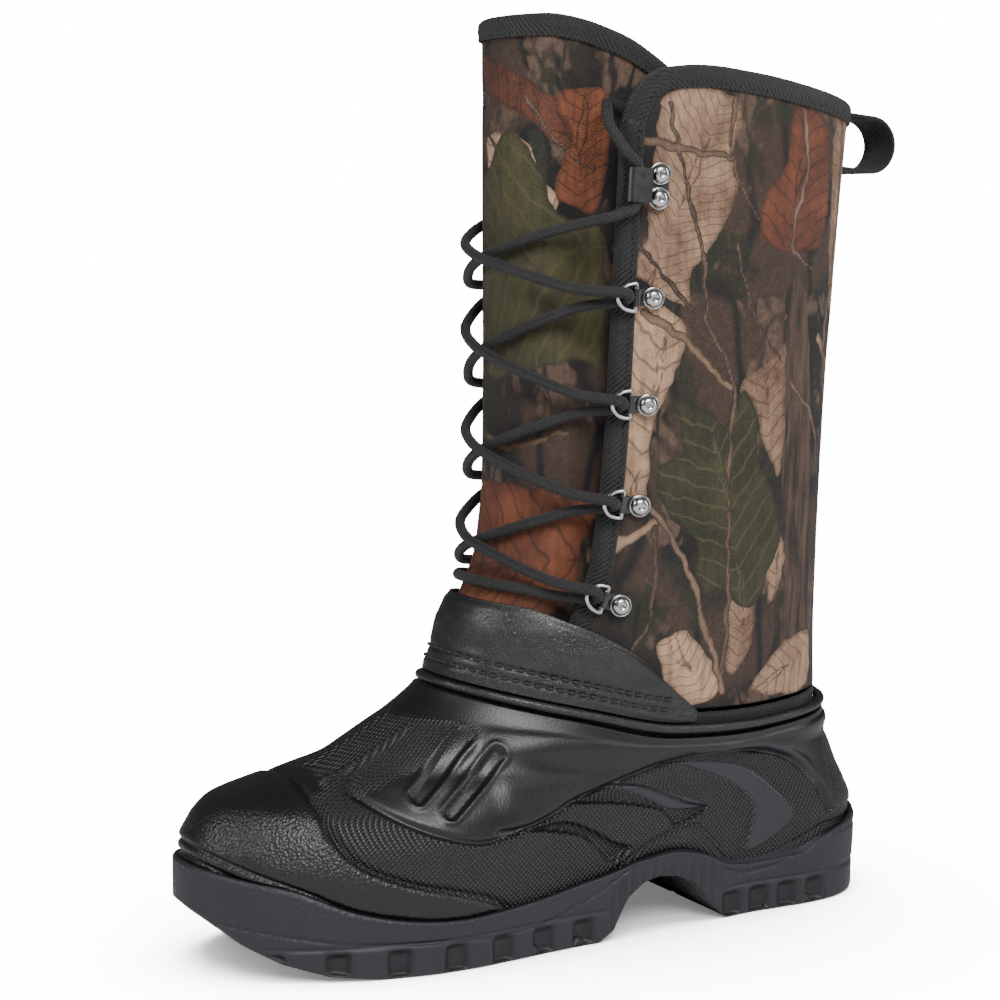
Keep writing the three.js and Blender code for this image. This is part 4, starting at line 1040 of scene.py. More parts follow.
SHADOW_PATCHES = (
    ((64, 346), (75, 350), (72, 322), (64, 318)),
    ((112, 352), (126, 349), (128, 330), (124, 296), (131, 270), (118, 262), (112, 300), (118, 325)),
    ((96, 262), (122, 276), (140, 276), (150, 256), (128, 238), (104, 230), (88, 238)),
    ((56, 170), (78, 182), (100, 150), (92, 128), (70, 140), (54, 150)),
    ((62, 302), (70, 304), (72, 292), (64, 284), (60, 290)),
)
PRINT = (
    Leaf(Kind.PALE, ((77, 353), (105, 354), (113, 344), (109, 325), (113, 317), (105, 295), (93, 280),
                     (91, 266), (75, 273), (61, 283), (67, 293), (71, 305), (64, 310), (73, 318), (73, 335)),
         4.5),
    Leaf(Kind.PALE, ((62, 266), (83, 263), (91, 253), (84, 232), (77, 216), (76, 185), (65, 185), (63, 216)),
         9),
    Leaf(Kind.PALE, ((126, 257), (143, 258), (148, 195), (138, 202), (126, 226), (119, 229))),
    Leaf(Kind.PALE, ((141, 163), (153, 162), (152, 143), (145, 138))),
    Leaf(Kind.PALE, ((91, 123), (104, 128), (119, 113), (124, 100), (110, 96), (97, 112)), 5),
    Leaf(Kind.PALE, ((121, 139), (138, 135), (139, 121), (132, 108), (127, 112)), 5),
    Leaf(Kind.PALE, ((142, 100), (160, 118), (179, 120), (177, 96), (150, 96)), 6),
    Leaf(Kind.PALE, ((-11, 334), (18, 335), (27, 317), (34, 308), (19, 293), (-3, 303)), 8),
    Leaf(Kind.PALE, ((168, 350), (190, 344), (206, 318), (200, 280), (180, 262), (172, 300)), 6),
    Leaf(Kind.PALE, ((186, 220), (206, 228), (216, 190), (204, 150), (188, 168)), 6),
    Leaf(Kind.PALE, ((-52, 352), (-30, 350), (-22, 322), (-38, 300), (-56, 318)), 7),
    Leaf(Kind.GREEN, ((86, 225), (96, 223), (105, 220), (114, 214), (121, 229), (129, 219), (133, 199),
                      (142, 185), (150, 166), (143, 149), (138, 137), (128, 136), (119, 146), (110, 143),
                      (103, 152), (102, 166), (86, 179), (80, 198), (93, 205)), 9),
    Leaf(Kind.GREEN, ((-60, 300), (-20, 312), (9, 339), (25, 323), (34, 303), (54, 295), (55, 240),
                      (42, 243), (-4, 234), (-40, 246), (-62, 260)), 11),
    Leaf(Kind.GREEN, ((190, 262), (212, 270), (222, 236), (208, 214), (196, 228)), 8),
    Leaf(Kind.GREEN, ((-50, 228), (-16, 224), (-10, 204), (-30, 192), (-54, 200)), 9),
    Leaf(Kind.RUST, ((139, 348), (163, 342), (168, 296), (156, 288), (137, 289), (125, 296), (128, 312),
                     (138, 327)), 8),
    Leaf(Kind.RUST, ((32, 353), (57, 352), (52, 308), (44, 305), (32, 312), (34, 325), (35, 338)), 6),
    Leaf(Kind.RUST, ((-60, 372), (-14, 372), (30, 353), (48, 328), (42, 323), (18, 345), (-14, 355),
                     (-50, 360)), 9),
    Leaf(Kind.RUST, ((-56, 187), (51, 187), (51, 165), (50, 140), (7, 132), (-50, 138)), 12),
    Leaf(Kind.RUST, ((196, 214), (214, 206), (220, 176), (206, 160), (194, 182)), 6),
    Stroke(Kind.GRASS, ((72, 263), (91, 251), (114, 231)), 2.2, 1.6),
    Stroke(Kind.GRASS, ((56, 161), (80, 174)), 3.2, 2.4),
    Stroke(Kind.GRASS, ((-30, 216), (10, 206), (40, 214)), 2.0, 1.0),
    Stroke(Kind.GRASS, ((170, 250), (190, 232), (214, 240)), 2.2, 1.2),
    Stroke(Kind.TWIG, ((79, 350), (85, 328), (98, 283), (102, 257), (116, 231), (117, 179), (126, 109)), 1.0,
           1.2),
    Stroke(Kind.TWIG, ((109, 352), (110, 325), (124, 302)), 1.2, 0.8),
    Stroke(Kind.TWIG, ((69, 290), (94, 263)), 1.3, 0.8),
    Stroke(Kind.TWIG, ((60, 335), (84, 331), (108, 327)), 1.9, 1.2),
    Stroke(Kind.TWIG, ((76, 185), (95, 160), (120, 116), (126, 100)), 1.4, 1.6),
    Stroke(Kind.TWIG, ((81, 173), (86, 138), (82, 119)), 1.2, 1.0),
    Stroke(Kind.TWIG, ((115, 291), (123, 266), (142, 241)), 0.9, 0.7),
    Stroke(Kind.TWIG, ((146, 347), (151, 324), (145, 291), (160, 279)), 1.5, 0.9),
    Stroke(Kind.TWIG, ((-20, 352), (0, 330), (8, 300), (30, 276)), 0.9, 0.7),
    Stroke(Kind.TWIG, ((20, 352), (36, 330), (50, 322)), 0.9, 0.7),
    Stroke(Kind.TWIG, ((26, 236), (34, 222), (30, 206)), 1.2, 0.8),
    Stroke(Kind.TWIG, ((176, 350), (182, 300), (176, 250), (186, 200), (180, 120)), 1.6, 1.4),
    Stroke(Kind.TWIG, ((150, 232), (170, 214), (176, 190)), 1.2, 0.8),
)
BARK_STRIP = ((143, 258), (160, 258), (180, 101), (159, 104))


class PrintChart:
    """Where each thing of the print lies, for places on the cloth."""

    def __init__(self) -> None:
        """Measure the shaft once: degrees round it to millimetres of cloth."""
        self.degrees = np.arange(-181.0, 182.0)
        ring = on_shaft(self.degrees, np.full(self.degrees.shape, 260.0))
        length = run_length(ring)
        self.length = length - np.interp(0, self.degrees, length)

    def cloth(self, angle: Array, z: Array) -> Array:
        """Millimetres on the cloth: round the shaft from its front, and up."""
        return np.stack([np.interp(angle, self.degrees, self.length), np.asarray(z, float)], axis=-1)

    def values(self, cloth: Array, turned: bool) -> dict:
        """Layers of the print at places on the cloth.

        Args:
            cloth: places, (N, 2).
            turned: on the medial side, where the cloth runs the other way.

        Returns:
            For each kind (edge, across, count) and a tone, and the bark's edge distance.
        """
        q = np.stack([222 - np.abs(cloth[:, 0]), 466 - cloth[:, 1]], axis=1) if turned else cloth
        flat = np.concatenate([cloth, np.zeros((len(q), 1))], axis=1)
        wobble = np.stack([value_noise(flat, 5, 11), value_noise(flat, 5, 12)], axis=1) - 0.5
        fine = np.stack([value_noise(flat, 1.8, 13), value_noise(flat, 1.8, 14)], axis=1) - 0.5
        q = q + 2.2 * wobble + 0.5 * fine
        made = {}
        for kind in Kind:
            best = np.full((len(q), 3), 0.0)
            best[:, 0] = -30.0
            tone = np.zeros(len(q))
            for index, item in enumerate(i for i in PRINT if i.kind is kind):
                read = item.read(q)
                over = read[:, 0] > best[:, 0]
                best[over] = read[over]
                tone[over] = (index * 0.37 + 0.31) % 1.0
            made[kind.value] = best
            made[kind.value + "_tone"] = np.clip(tone + 0.5 * (value_noise(flat, 14, 15) - 0.5), 0, 1)
        hidden = np.full(len(q), -30.0)
        for patch in SHADOW_PATCHES:
            hidden = np.maximum(hidden, inside(q, rounded(list(patch))))
        made[Kind.PALE.value][:, 0] = np.minimum(made[Kind.PALE.value][:, 0], -hidden)
        made["bark"] = inside(q, rounded(list(BARK_STRIP))) + 3 * wobble[:, 0]
        made["cloth"] = cloth
        return made


# ---------------------------------------------------------------- shaft
FABRIC, FOAM = 1.2, 4.6
LEAF_OF_BINDING, BINDING_WRAP, BINDING_WIDTH = 1.2, 1.5, 8.0
RIM = ((0, 342), (2, 350), (6, 358), (12, 362.5), (25, 364), (43, 361.5), (65, 357), (95, 351.5), (125, 349))
BACK_END = 179.75


def edge_angle(z: Array) -> Array:
    """Angle of a flap's front edge at a height: 50 degrees at 130 mm to 55 at 353 mm."""
    return lerp(50.0, 55.0, (np.asarray(z, float) - 130) / 223)


def shaft_place(f: Array, v: Array) -> tuple[Array, Array]:
    """Angle and height on one half of the shaft: f from the flap's edge to the back, v up to the rim."""
    top = through(list(RIM), lerp(55, BACK_END, f) - 55)
    low = collar_height(lerp(50, BACK_END, f)) + 8
    z = lerp(low, top, v)
    return lerp(edge_angle(z), BACK_END, f), z


def near_edge(angle: Array, z: Array, along: Array, a: Array, b: Array,
              lift: Callable = lambda angle, z: 0.0) -> Array:
    """Point a millimetres in from an edge, along the cloth, and b off it.

    Args:
        angle: degrees of the edge's points, (N,).
        z: heights of the edge's points, (N,).
        along: unit direction of the edge, (N, 3).
        a: distances in from the edge, (M,) or (N, M).
        b: distances off the cloth, the same shape.
        lift: what is added to b at an angle and a height.

    Returns:
        Points, (N, M, 3). The step in angle and height solves a 2 x 2 system of the surface's directions.
    """
    angle, z = np.atleast_1d(np.asarray(angle, float)), np.atleast_1d(np.asarray(z, float))
    around = on_shaft(angle + 0.5, z) - on_shaft(angle - 0.5, z)
    up = on_shaft(angle, z + 0.5) - on_shaft(angle, z - 0.5)
    inward = unit(np.cross(np.atleast_2d(along), unit(np.cross(around, up))))
    dot = lambda p, q: (p * q).sum(axis=-1)
    rr, ru, uu = dot(around, around), dot(around, up), dot(up, up)
    det = rr * uu - ru * ru
    turn = (dot(inward, around) * uu - dot(inward, up) * ru) / det
    rise = (dot(inward, up) * rr - dot(inward, around) * ru) / det
    wide = (len(angle), np.shape(a)[-1])
    a, b = np.broadcast_to(a, wide), np.broadcast_to(b, wide)
    at, height = angle[:, None] + a * turn[:, None], z[:, None] + a * rise[:, None]
    return on_shaft(at, height, b + lift(at, height))


def edge_direction(angle: Array, z: Array) -> Array:
    """Unit direction of a line of places along the shaft."""
    p = on_shaft(angle, z)
    return unit(np.concatenate([p[1:], p[-1:]]) - np.concatenate([p[:1], p[:-1]]))


def even_places(angle: Array, z: Array, step: float) -> tuple[Array, Array]:
    """The same line of places, at equal steps in millimetres."""
    p = on_shaft(angle, z)
    length = run_length(p)
    at = np.linspace(0, length[-1], max(int(length[-1] / step), 4))
    return np.interp(at, length, angle), np.interp(at, length, z)


@dataclass(frozen=True)
class Binding:
    """Tape folded over an edge: two leaves that hold a stack, ribbed, with stitches along it."""

    name: str
    depth: float
    slack: float
    width: float = BINDING_WIDTH
    leaf: float = LEAF_OF_BINDING

    def section(self) -> Array:
        """U section (a in from the edge, b off the cloth): plump round the fold, pressed at its hems."""
        top, low = self.leaf + self.slack, -self.depth - self.slack
        outer, deep = -BINDING_WRAP, low - self.leaf
        turn = np.linspace(0, np.pi, 13)
        middle, half = (top + deep) / 2, (top - deep) / 2
        fold = np.stack([3.0 - (3.0 - outer) * np.sin(turn) ** 0.7, middle + half * np.cos(turn)], axis=1)
        front = np.array([[self.width, self.slack], [self.width + 0.1, top - 0.55],
                          [self.width - 0.6, top - 0.1],
                          [6.6, top - 0.30], [5.9, top - 0.32], [4.6, top - 0.02]])
        back = np.array([[4.6, deep], [self.width - 0.5, deep], [self.width, deep + 0.5], [self.width, low],
                         [3.0, low], [-self.slack, low + 0.6], [-self.slack, self.slack - 0.4],
                         [2.0, self.slack]])
        return np.concatenate([front, fold, back])

    def make(self, angle: Array, z: Array, finish: bpy.types.Material,
             lift: Callable = lambda angle, z: 0.0) -> None:
        """The piece along a line of places.

        Args:
            angle: degrees along the edge.
            z: heights along the edge.
            finish: its material.
            lift: offset of the cloth at an angle and a height.
        """
        angle, z = even_places(angle, z, 1.1)
        section = self.section()
        points = near_edge(angle, z, edge_direction(angle, z), section[:, 0], section[:, 1], lift)
        n, m = points.shape[:2]
        faces = [grid_faces(n, m, wrap_columns=True)]
        index = np.arange(m)
        following = (index + 1) % m
        faces.append(np.stack([np.full(m, n * m), index, following, following], axis=1))
        base = (n - 1) * m
        faces.append(np.stack([np.full(m, n * m + 1), base + following, base + index, base + index], axis=1))
        ends = np.stack([points[0].mean(axis=0), points[-1].mean(axis=0)])
        length = run_length(points[:, 0])
        across = run_length(section)
        uv = np.stack(np.broadcast_arrays(length[:, None], across[None]), axis=-1).reshape(-1, 2)
        shape = Shape(np.concatenate([points.reshape(-1, 3), ends]), np.concatenate(faces),
                      {"cloth": np.concatenate([uv, uv[[0, -1]]])})
        make_piece(self.name, shape, finish, Slot.TWILL, (self.name,))


def stitches(path: Array, normal: Array, pitch: float, length: float, radius: float,
             sink: float = 0.35) -> Shape:
    """A row of stitches: short round threads that dip into the cloth at both ends.

    Args:
        path: the seam, (N, 3), on the surface.
        normal: outward directions at its points.
        pitch: distance from one stitch to the next.
        length: length of one stitch.
        radius: radius of the thread.
        sink: how deep the ends go.

    Returns:
        All stitches as one shape.
    """
    run = run_length(path)
    count = int(run[-1] // pitch)
    at = (np.arange(count)[:, None] + 0.5) * pitch + np.linspace(-0.5, 0.5, 7)[None] * length
    read = lambda values: np.stack([np.interp(at, run, values[:, k]) for k in range(3)], axis=-1)
    place, out = read(path), unit(read(normal))
    dome = np.sqrt(np.maximum(1 - np.linspace(-1, 1, 7) ** 2, 0))
    centre = place + out * (radius * 0.55 * dome - sink * (1 - dome))[None, :, None]
    along = unit(centre[:, -1:] - centre[:, :1])
    side = np.cross(along, out)
    turn = np.arange(6) * np.pi / 3
    thick = radius * (0.35 + 0.65 * dome)[None, :, None, None]
    ring = (side[:, :, None] * np.cos(turn)[:, None] + out[:, :, None] * np.sin(turn)[:, None]) * thick
    points = centre[:, :, None] + ring
    single = grid_faces(7, 6, wrap_columns=True)
    caps = np.array([[0, 5, 4, 3], [0, 3, 2, 1], [36, 37, 38, 39], [36, 39, 40, 41]])
    one = np.concatenate([single, caps])
    faces = (one[None] + 42 * np.arange(count)[:, None, None]).reshape(-1, 4)
    flat = points.reshape(-1, 3)
    uv = np.stack([np.broadcast_to(at[:, :, None], (count, 7, 6)).ravel(),
                   np.broadcast_to(turn * radius, (count, 7, 6)).ravel()], axis=1)
    return Shape(flat, faces, {"cloth": uv})


@dataclass
class Shaft:
    """The printed shaft: two padded quarters, their binding, the back stay and the ankle gaiter."""

    finishes: Finishes
    chart: PrintChart
    gaiter_top: tuple = ((0, 143), (30, 141), (51, 134), (70, 122), (85, 105), (95, 93))

    def quarter(self, side: int, label: str) -> None:
        """One printed quarter and the padding behind it.

        Args:
            side: 1 for the lateral quarter, -1 for the medial one.
            label: the side's name, for the pieces' names.
        """
        f, v = np.linspace(0, 1, 150)[:, None], np.linspace(0, 1, 236)[None]
        angle, z = shaft_place(*np.broadcast_arrays(f, v))
        full = np.stack([angle, z, np.zeros_like(z)], axis=-1)
        soft = 0.35 * (value_noise(full, 24, 31) + 0.5 * value_noise(full, 9, 32) - 0.75)
        under = smooth(z, 150, 175) * smooth(angle, 66, 74) * smooth(-angle, -172, -166)
        angle = side * angle
        outer, inner = on_shaft(angle, z, soft * under), on_shaft(angle, z, -FABRIC)
        values = self.chart.values(self.chart.cloth(angle, z).reshape(-1, 2), side < 0)
        grid = {k: a.reshape(angle.shape + a.shape[1:]) for k, a in values.items()}
        name = "shaft_quarter_" + label
        make_piece(name, slab(outer, inner, grid), self.finishes.print, Slot.PRINT, (name,))
        f, v = np.linspace(0, 1, 90)[:, None], np.linspace(0, 1, 110)[None]
        angle, z = shaft_place(*np.broadcast_arrays(f, v))
        angle = side * angle
        full = on_shaft(angle, z)
        puffy = 0.5 * value_noise(full, 18, 33) + 0.25 * value_noise(full, 6, 34)
        hem = smooth(f, 0, 0.1) * smooth(1 - f, 0, 0.04) * smooth(v, 0, 0.08) * smooth(1 - v, 0, 0.06)
        outer = on_shaft(angle, z, -FABRIC - 2 * GAP)
        inner = on_shaft(angle, z, -FABRIC - 2 * GAP - FOAM - 0.4 * puffy * hem)
        name = "shaft_insulation_" + label
        cloth = {"cloth": self.chart.cloth(angle, z)}
        padding = make_piece(name, slab(outer, inner, cloth), self.finishes.fleece, Slot.FLEECE, (name,))

    def edge_line(self) -> tuple[Array, Array]:
        """Places along the front edge, the rim and the other front edge."""
        rise = shaft_place(0.0, np.linspace(0, 1, 120))
        rim = shaft_place(np.linspace(0, 1, 160)[1:], 1.0)
        angle, z = np.concatenate([rise[0], rim[0]]), np.concatenate([rise[1], rim[1]])
        return np.concatenate([angle, 360 - angle[::-1]]), np.concatenate([z, z[::-1]])

    def binding(self) -> None:
        """Binding of the rim and both flap edges, with its row of stitches."""
        tape = Binding("top_binding", FABRIC + 2 * GAP + FOAM, GAP)
        angle, z = self.edge_line()
        tape.make(angle, z, self.finishes.binding)
        angle, z = even_places(angle, z, 1.5)
        along = edge_direction(angle, z)
        path = near_edge(angle, z, along, np.array([6.25]), np.array([1.28]))[:, 0]
        higher = near_edge(angle, z, along, np.array([6.25]), np.array([2.28]))[:, 0]
        row = stitches(path, unit(higher - path), 3.4, 2.6, 0.30)
        make_piece("top_binding_stitches", row, self.finishes.thread, Slot.TWILL)

    def back_stay(self) -> None:
        """Webbing down the back seam, with edge stitches."""
        top = float(shaft_place(1.0, 1.0)[1]) - BINDING_WIDTH - 1
        low = float(collar_height(180.0)) + 11
        z = np.linspace(low, top, 200)[None]
        a = np.linspace(-11, 11, 23)[:, None]
        a, z = np.broadcast_arrays(a, z)
        past, short = on_shaft(np.full(z.shape, 181.0), z), on_shaft(np.full(z.shape, 179.0), z)
        wide = np.linalg.norm(past - short, axis=-1) / 2
        angle = 180 + a / wide
        crown = 0.16 * (1 - smooth(np.abs(a), 9.2, 11))
        outer, inner = on_shaft(angle, z, 1.15 + crown), on_shaft(angle, z, GAP)
        cloth = np.stack([z, a], axis=-1)
        make_piece("back_stay", slab(outer, inner, {"cloth": cloth}), self.finishes.webbing, Slot.WEBBING,
                   ("back_stay",))
        rows = []
        for a in (-8.8, 8.8):
            z = np.linspace(low + 2, top - 2, 160)
            angle = 180 + a / wide[0, 0]
            path = on_shaft(np.full(z.shape, angle), z, 1.3)
            out = on_shaft(np.full(z.shape, angle), z, 2.3) - path
            rows.append(stitches(path, out, 3.6, 2.8, 0.32))
        make_piece("back_stay_stitches", rows[0].joined(rows[1]), self.finishes.thread, Slot.TWILL)

    def gaiter(self) -> None:
        """Leather over the instep and round the ankle, creased, with two rows of stitches."""
        end = 94.0
        angle, v = np.broadcast_arrays(np.linspace(-end, end, 330)[:, None], np.linspace(0, 1, 72)[None])
        low = collar_height(angle) + 2.8
        top = np.maximum(through(list(self.gaiter_top), np.abs(angle)), low + 3)
        z = lerp(low, top, v)
        full = on_shaft(angle, z)
        crease = value_noise(full * np.array([1, 1, 2.2]), 13, 41) - 0.5
        fine = value_noise(full, 4, 42) - 0.5
        edge = smooth(v, 0, 0.12) * smooth(1 - v, 0, 0.10)
        seam = np.exp(-(((z - low) - 5.2) / 1.1) ** 2) + np.exp(-(((z - low) - 9.6) / 1.1) ** 2)
        bulge = 1.1 * np.sin(np.pi * np.clip((z - low - 9.6) / 26, 0, 1)) ** 2
        base = LEAF_OF_BINDING + 2.5 * GAP
        off = base + 1.5 + edge * (bulge + 0.9 * crease + 0.12 * fine - 0.45 * seam) - 0.5 * (1 - edge)
        outer, inner = on_shaft(angle, z, np.maximum(off, base + 0.7)), on_shaft(angle, z, base)
        cloth = self.chart.cloth(angle, z)
        make_piece("ankle_gaiter", slab(outer, inner, {"cloth": cloth}), self.finishes.leather, Slot.LEATHER,
                   ("ankle_gaiter",))
        rows = []
        for height in (5.2, 9.6):
            angle = np.linspace(-88, 88, 400)
            z = collar_height(angle) + 2.8 + height
            keep = z < np.maximum(through(list(self.gaiter_top), np.abs(angle)), 0) - 1.5
            path = on_shaft(angle[keep], z[keep], base + 1.28)
            out = on_shaft(angle[keep], z[keep], base + 2.3) - path
            rows.append(stitches(path, out, 4.8, 3.8, 0.66))
        make_piece("gaiter_stitches", rows[0].joined(rows[1]), self.finishes.thread, Slot.LEATHER)

    def build(self) -> None:
        """All of the shaft."""
        self.quarter(1, "lateral")
        self.quarter(-1, "medial")
        self.binding()
        self.back_stay()
        self.gaiter()


# ---------------------------------------------------------------- tongue
TONGUE_RIM = ((0, 385), (25, 385), (38, 383), (55, 377), (70, 367), (80, 357))


def tongue_offset(angle: Array, z: Array) -> Array:
    """How far the tongue lies off the shaft's surface: it slips under the flaps at its sides."""
    high = smooth(z, 225, 262)
    depth, start, end = lerp(9.0, 15.0, high), lerp(34.0, 22.0, high), lerp(52.0, 46.0, high)
    across = np.clip((np.abs(angle) - start) / (end - start), 0, 1)
    return -depth * across * across * (3 - 2 * across) - 1


def tongue_place(angle: Array, v: Array) -> Array:
    """Height on the tongue: from above the shell's rim to the tongue's rim."""
    return lerp(collar_height(angle) + 9, through(list(TONGUE_RIM), np.abs(angle)), v)


@dataclass
class Tongue:
    """The padded printed tongue with its binding, and the gussets that join it to the flaps."""

    finishes: Finishes
    chart: PrintChart
    foam: float = 4.0

    def face(self) -> None:
        """The printed face, with the seam that crosses it above the ankle."""
        angle, v = np.broadcast_arrays(np.linspace(-80, 80, 190)[:, None], np.linspace(0, 1, 250)[None])
        z = tongue_place(angle, v)
        full = np.stack([angle, z, np.zeros_like(z)], axis=-1)
        calm = smooth(z, 165, 185) * smooth(-z, -364, -352) * (1 - smooth(np.abs(angle), 24, 34))
        soft = 0.8 * (value_noise(full, 30, 51) - 0.7) * calm
        seam = -0.45 * np.exp(-((z - 188 - 0.03 * angle) / 0.7) ** 2)
        lift = tongue_offset(angle, z)
        outer = on_shaft(angle, z, lift + np.minimum(soft, 0) + seam * (1 - smooth(np.abs(angle), 30, 50)))
        inner = on_shaft(angle, z, lift - FABRIC)
        values = self.chart.values(self.chart.cloth(angle, z).reshape(-1, 2), False)
        grid = {k: a.reshape(angle.shape + a.shape[1:]) for k, a in values.items()}
        make_piece("tongue_face", slab(outer, inner, grid), self.finishes.print, Slot.PRINT, ("tongue_face",))

    def padding(self) -> None:
        """Foam with fleece behind the face."""
        angle, v = np.broadcast_arrays(np.linspace(-80, 80, 100)[:, None], np.linspace(0, 1, 120)[None])
        z = tongue_place(angle, v)
        lift = tongue_offset(angle, z) - FABRIC - 2 * GAP
        full = on_shaft(angle, z)
        puffy = 0.5 * value_noise(full, 16, 52) + 0.2 * value_noise(full, 5, 53)
        hem = smooth(v, 0, 0.08) * smooth(1 - v, 0, 0.05)
        outer = on_shaft(angle, z, lift)
        inner = on_shaft(angle, z, lift - self.foam - 0.3 * puffy * hem)
        padding = make_piece("tongue_insulation", slab(outer, inner, {"cloth": self.chart.cloth(angle, z)}),
                             self.finishes.fleece, Slot.FLEECE, ("tongue_insulation",))

    def binding(self) -> None:
        """Binding of the tongue's top edge."""
        angle = np.linspace(78, -78, 130)[::-1]
        z = through(list(TONGUE_RIM), np.abs(angle))
        tape = Binding("tongue_binding", FABRIC + 2 * GAP + self.foam, 2 * GAP)
        flip = angle[::-1]
        tape.make(flip if self.runs_back(tape, angle, z) else angle, z, self.finishes.binding, tongue_offset)

    def runs_back(self, tape: Binding, angle: Array, z: Array) -> bool:
        """Whether the line must be turned round so that the tape's leaves reach down from the rim."""
        along = edge_direction(angle, z)
        point = near_edge(angle, z, along, np.array([tape.width]), np.array([0.0]), tongue_offset)
        return bool(point[len(z) // 2, 0, 2] > z[len(z) // 2])

    def gussets(self) -> None:
        """Thin cloth between the tongue's side edges and the quarters, pleated."""
        for side, label in ((1, "lateral"), (-1, "medial")):
            angle, v = np.broadcast_arrays(np.linspace(81.5, 102, 26)[:, None],
                                           np.linspace(0.02, 0.6, 90)[None])
            z = tongue_place(np.full(angle.shape, 80.0), v)
            pleat = 0.15 * np.sin(angle * 1.4 + z * 0.05)
            outer, inner = on_shaft(side * angle, z, -8.55 + pleat), on_shaft(side * angle, z, -9.25 + pleat)
            name = "gusset_" + label
            cloth = {"cloth": self.chart.cloth(angle, z)}
            make_piece(name, slab(outer, inner, cloth), self.finishes.gusset, Slot.TWILL, (name,))

    def build(self) -> None:
        """All of the tongue."""
        self.face()
        self.padding()
        self.binding()
        self.gussets()


# ---------------------------------------------------------------- shell and sole
@dataclass(frozen=True)
class Relief:
    """A moulded line or area of the shell: an outline or a line, and how high or deep it stands."""

    places: tuple
    height: float
    width: float = 1.0
    closed: bool = True
    rim: float = 0.0

    def read(self, q: Array) -> tuple[Array, Array]:
        """Height at places q, and how far inside the area they are (0..1)."""
        if self.closed:
            edge = inside(q, rounded(list(self.places)))
            within = smooth(edge, -self.width / 2, self.width / 2)
            return self.height * within + self.rim * np.exp(-(edge / 0.8) ** 2), within
        distance = line_distance(q, spline(self.places, 8))
        within = np.exp(-(distance / self.width) ** 2)
        return self.height * within, within


PANEL_EDGE = ((-44, 54), (-30, 55), (-19, 58), (-9, 62), (4, 65), (21, 69), (38, 72), (55, 74), (72, 74),
              (90, 71), (105, 67), (116, 60), (124, 51), (130, 40))
SOLE_EDGE = ((-160, 26), (-110, 17), (-44, 13), (-23, 14), (-1, 21), (16, 29), (32, 38), (49, 43), (58, 41),
             (66, 32), (73, 23), (81, 20), (96, 21), (114, 28), (126, 32))


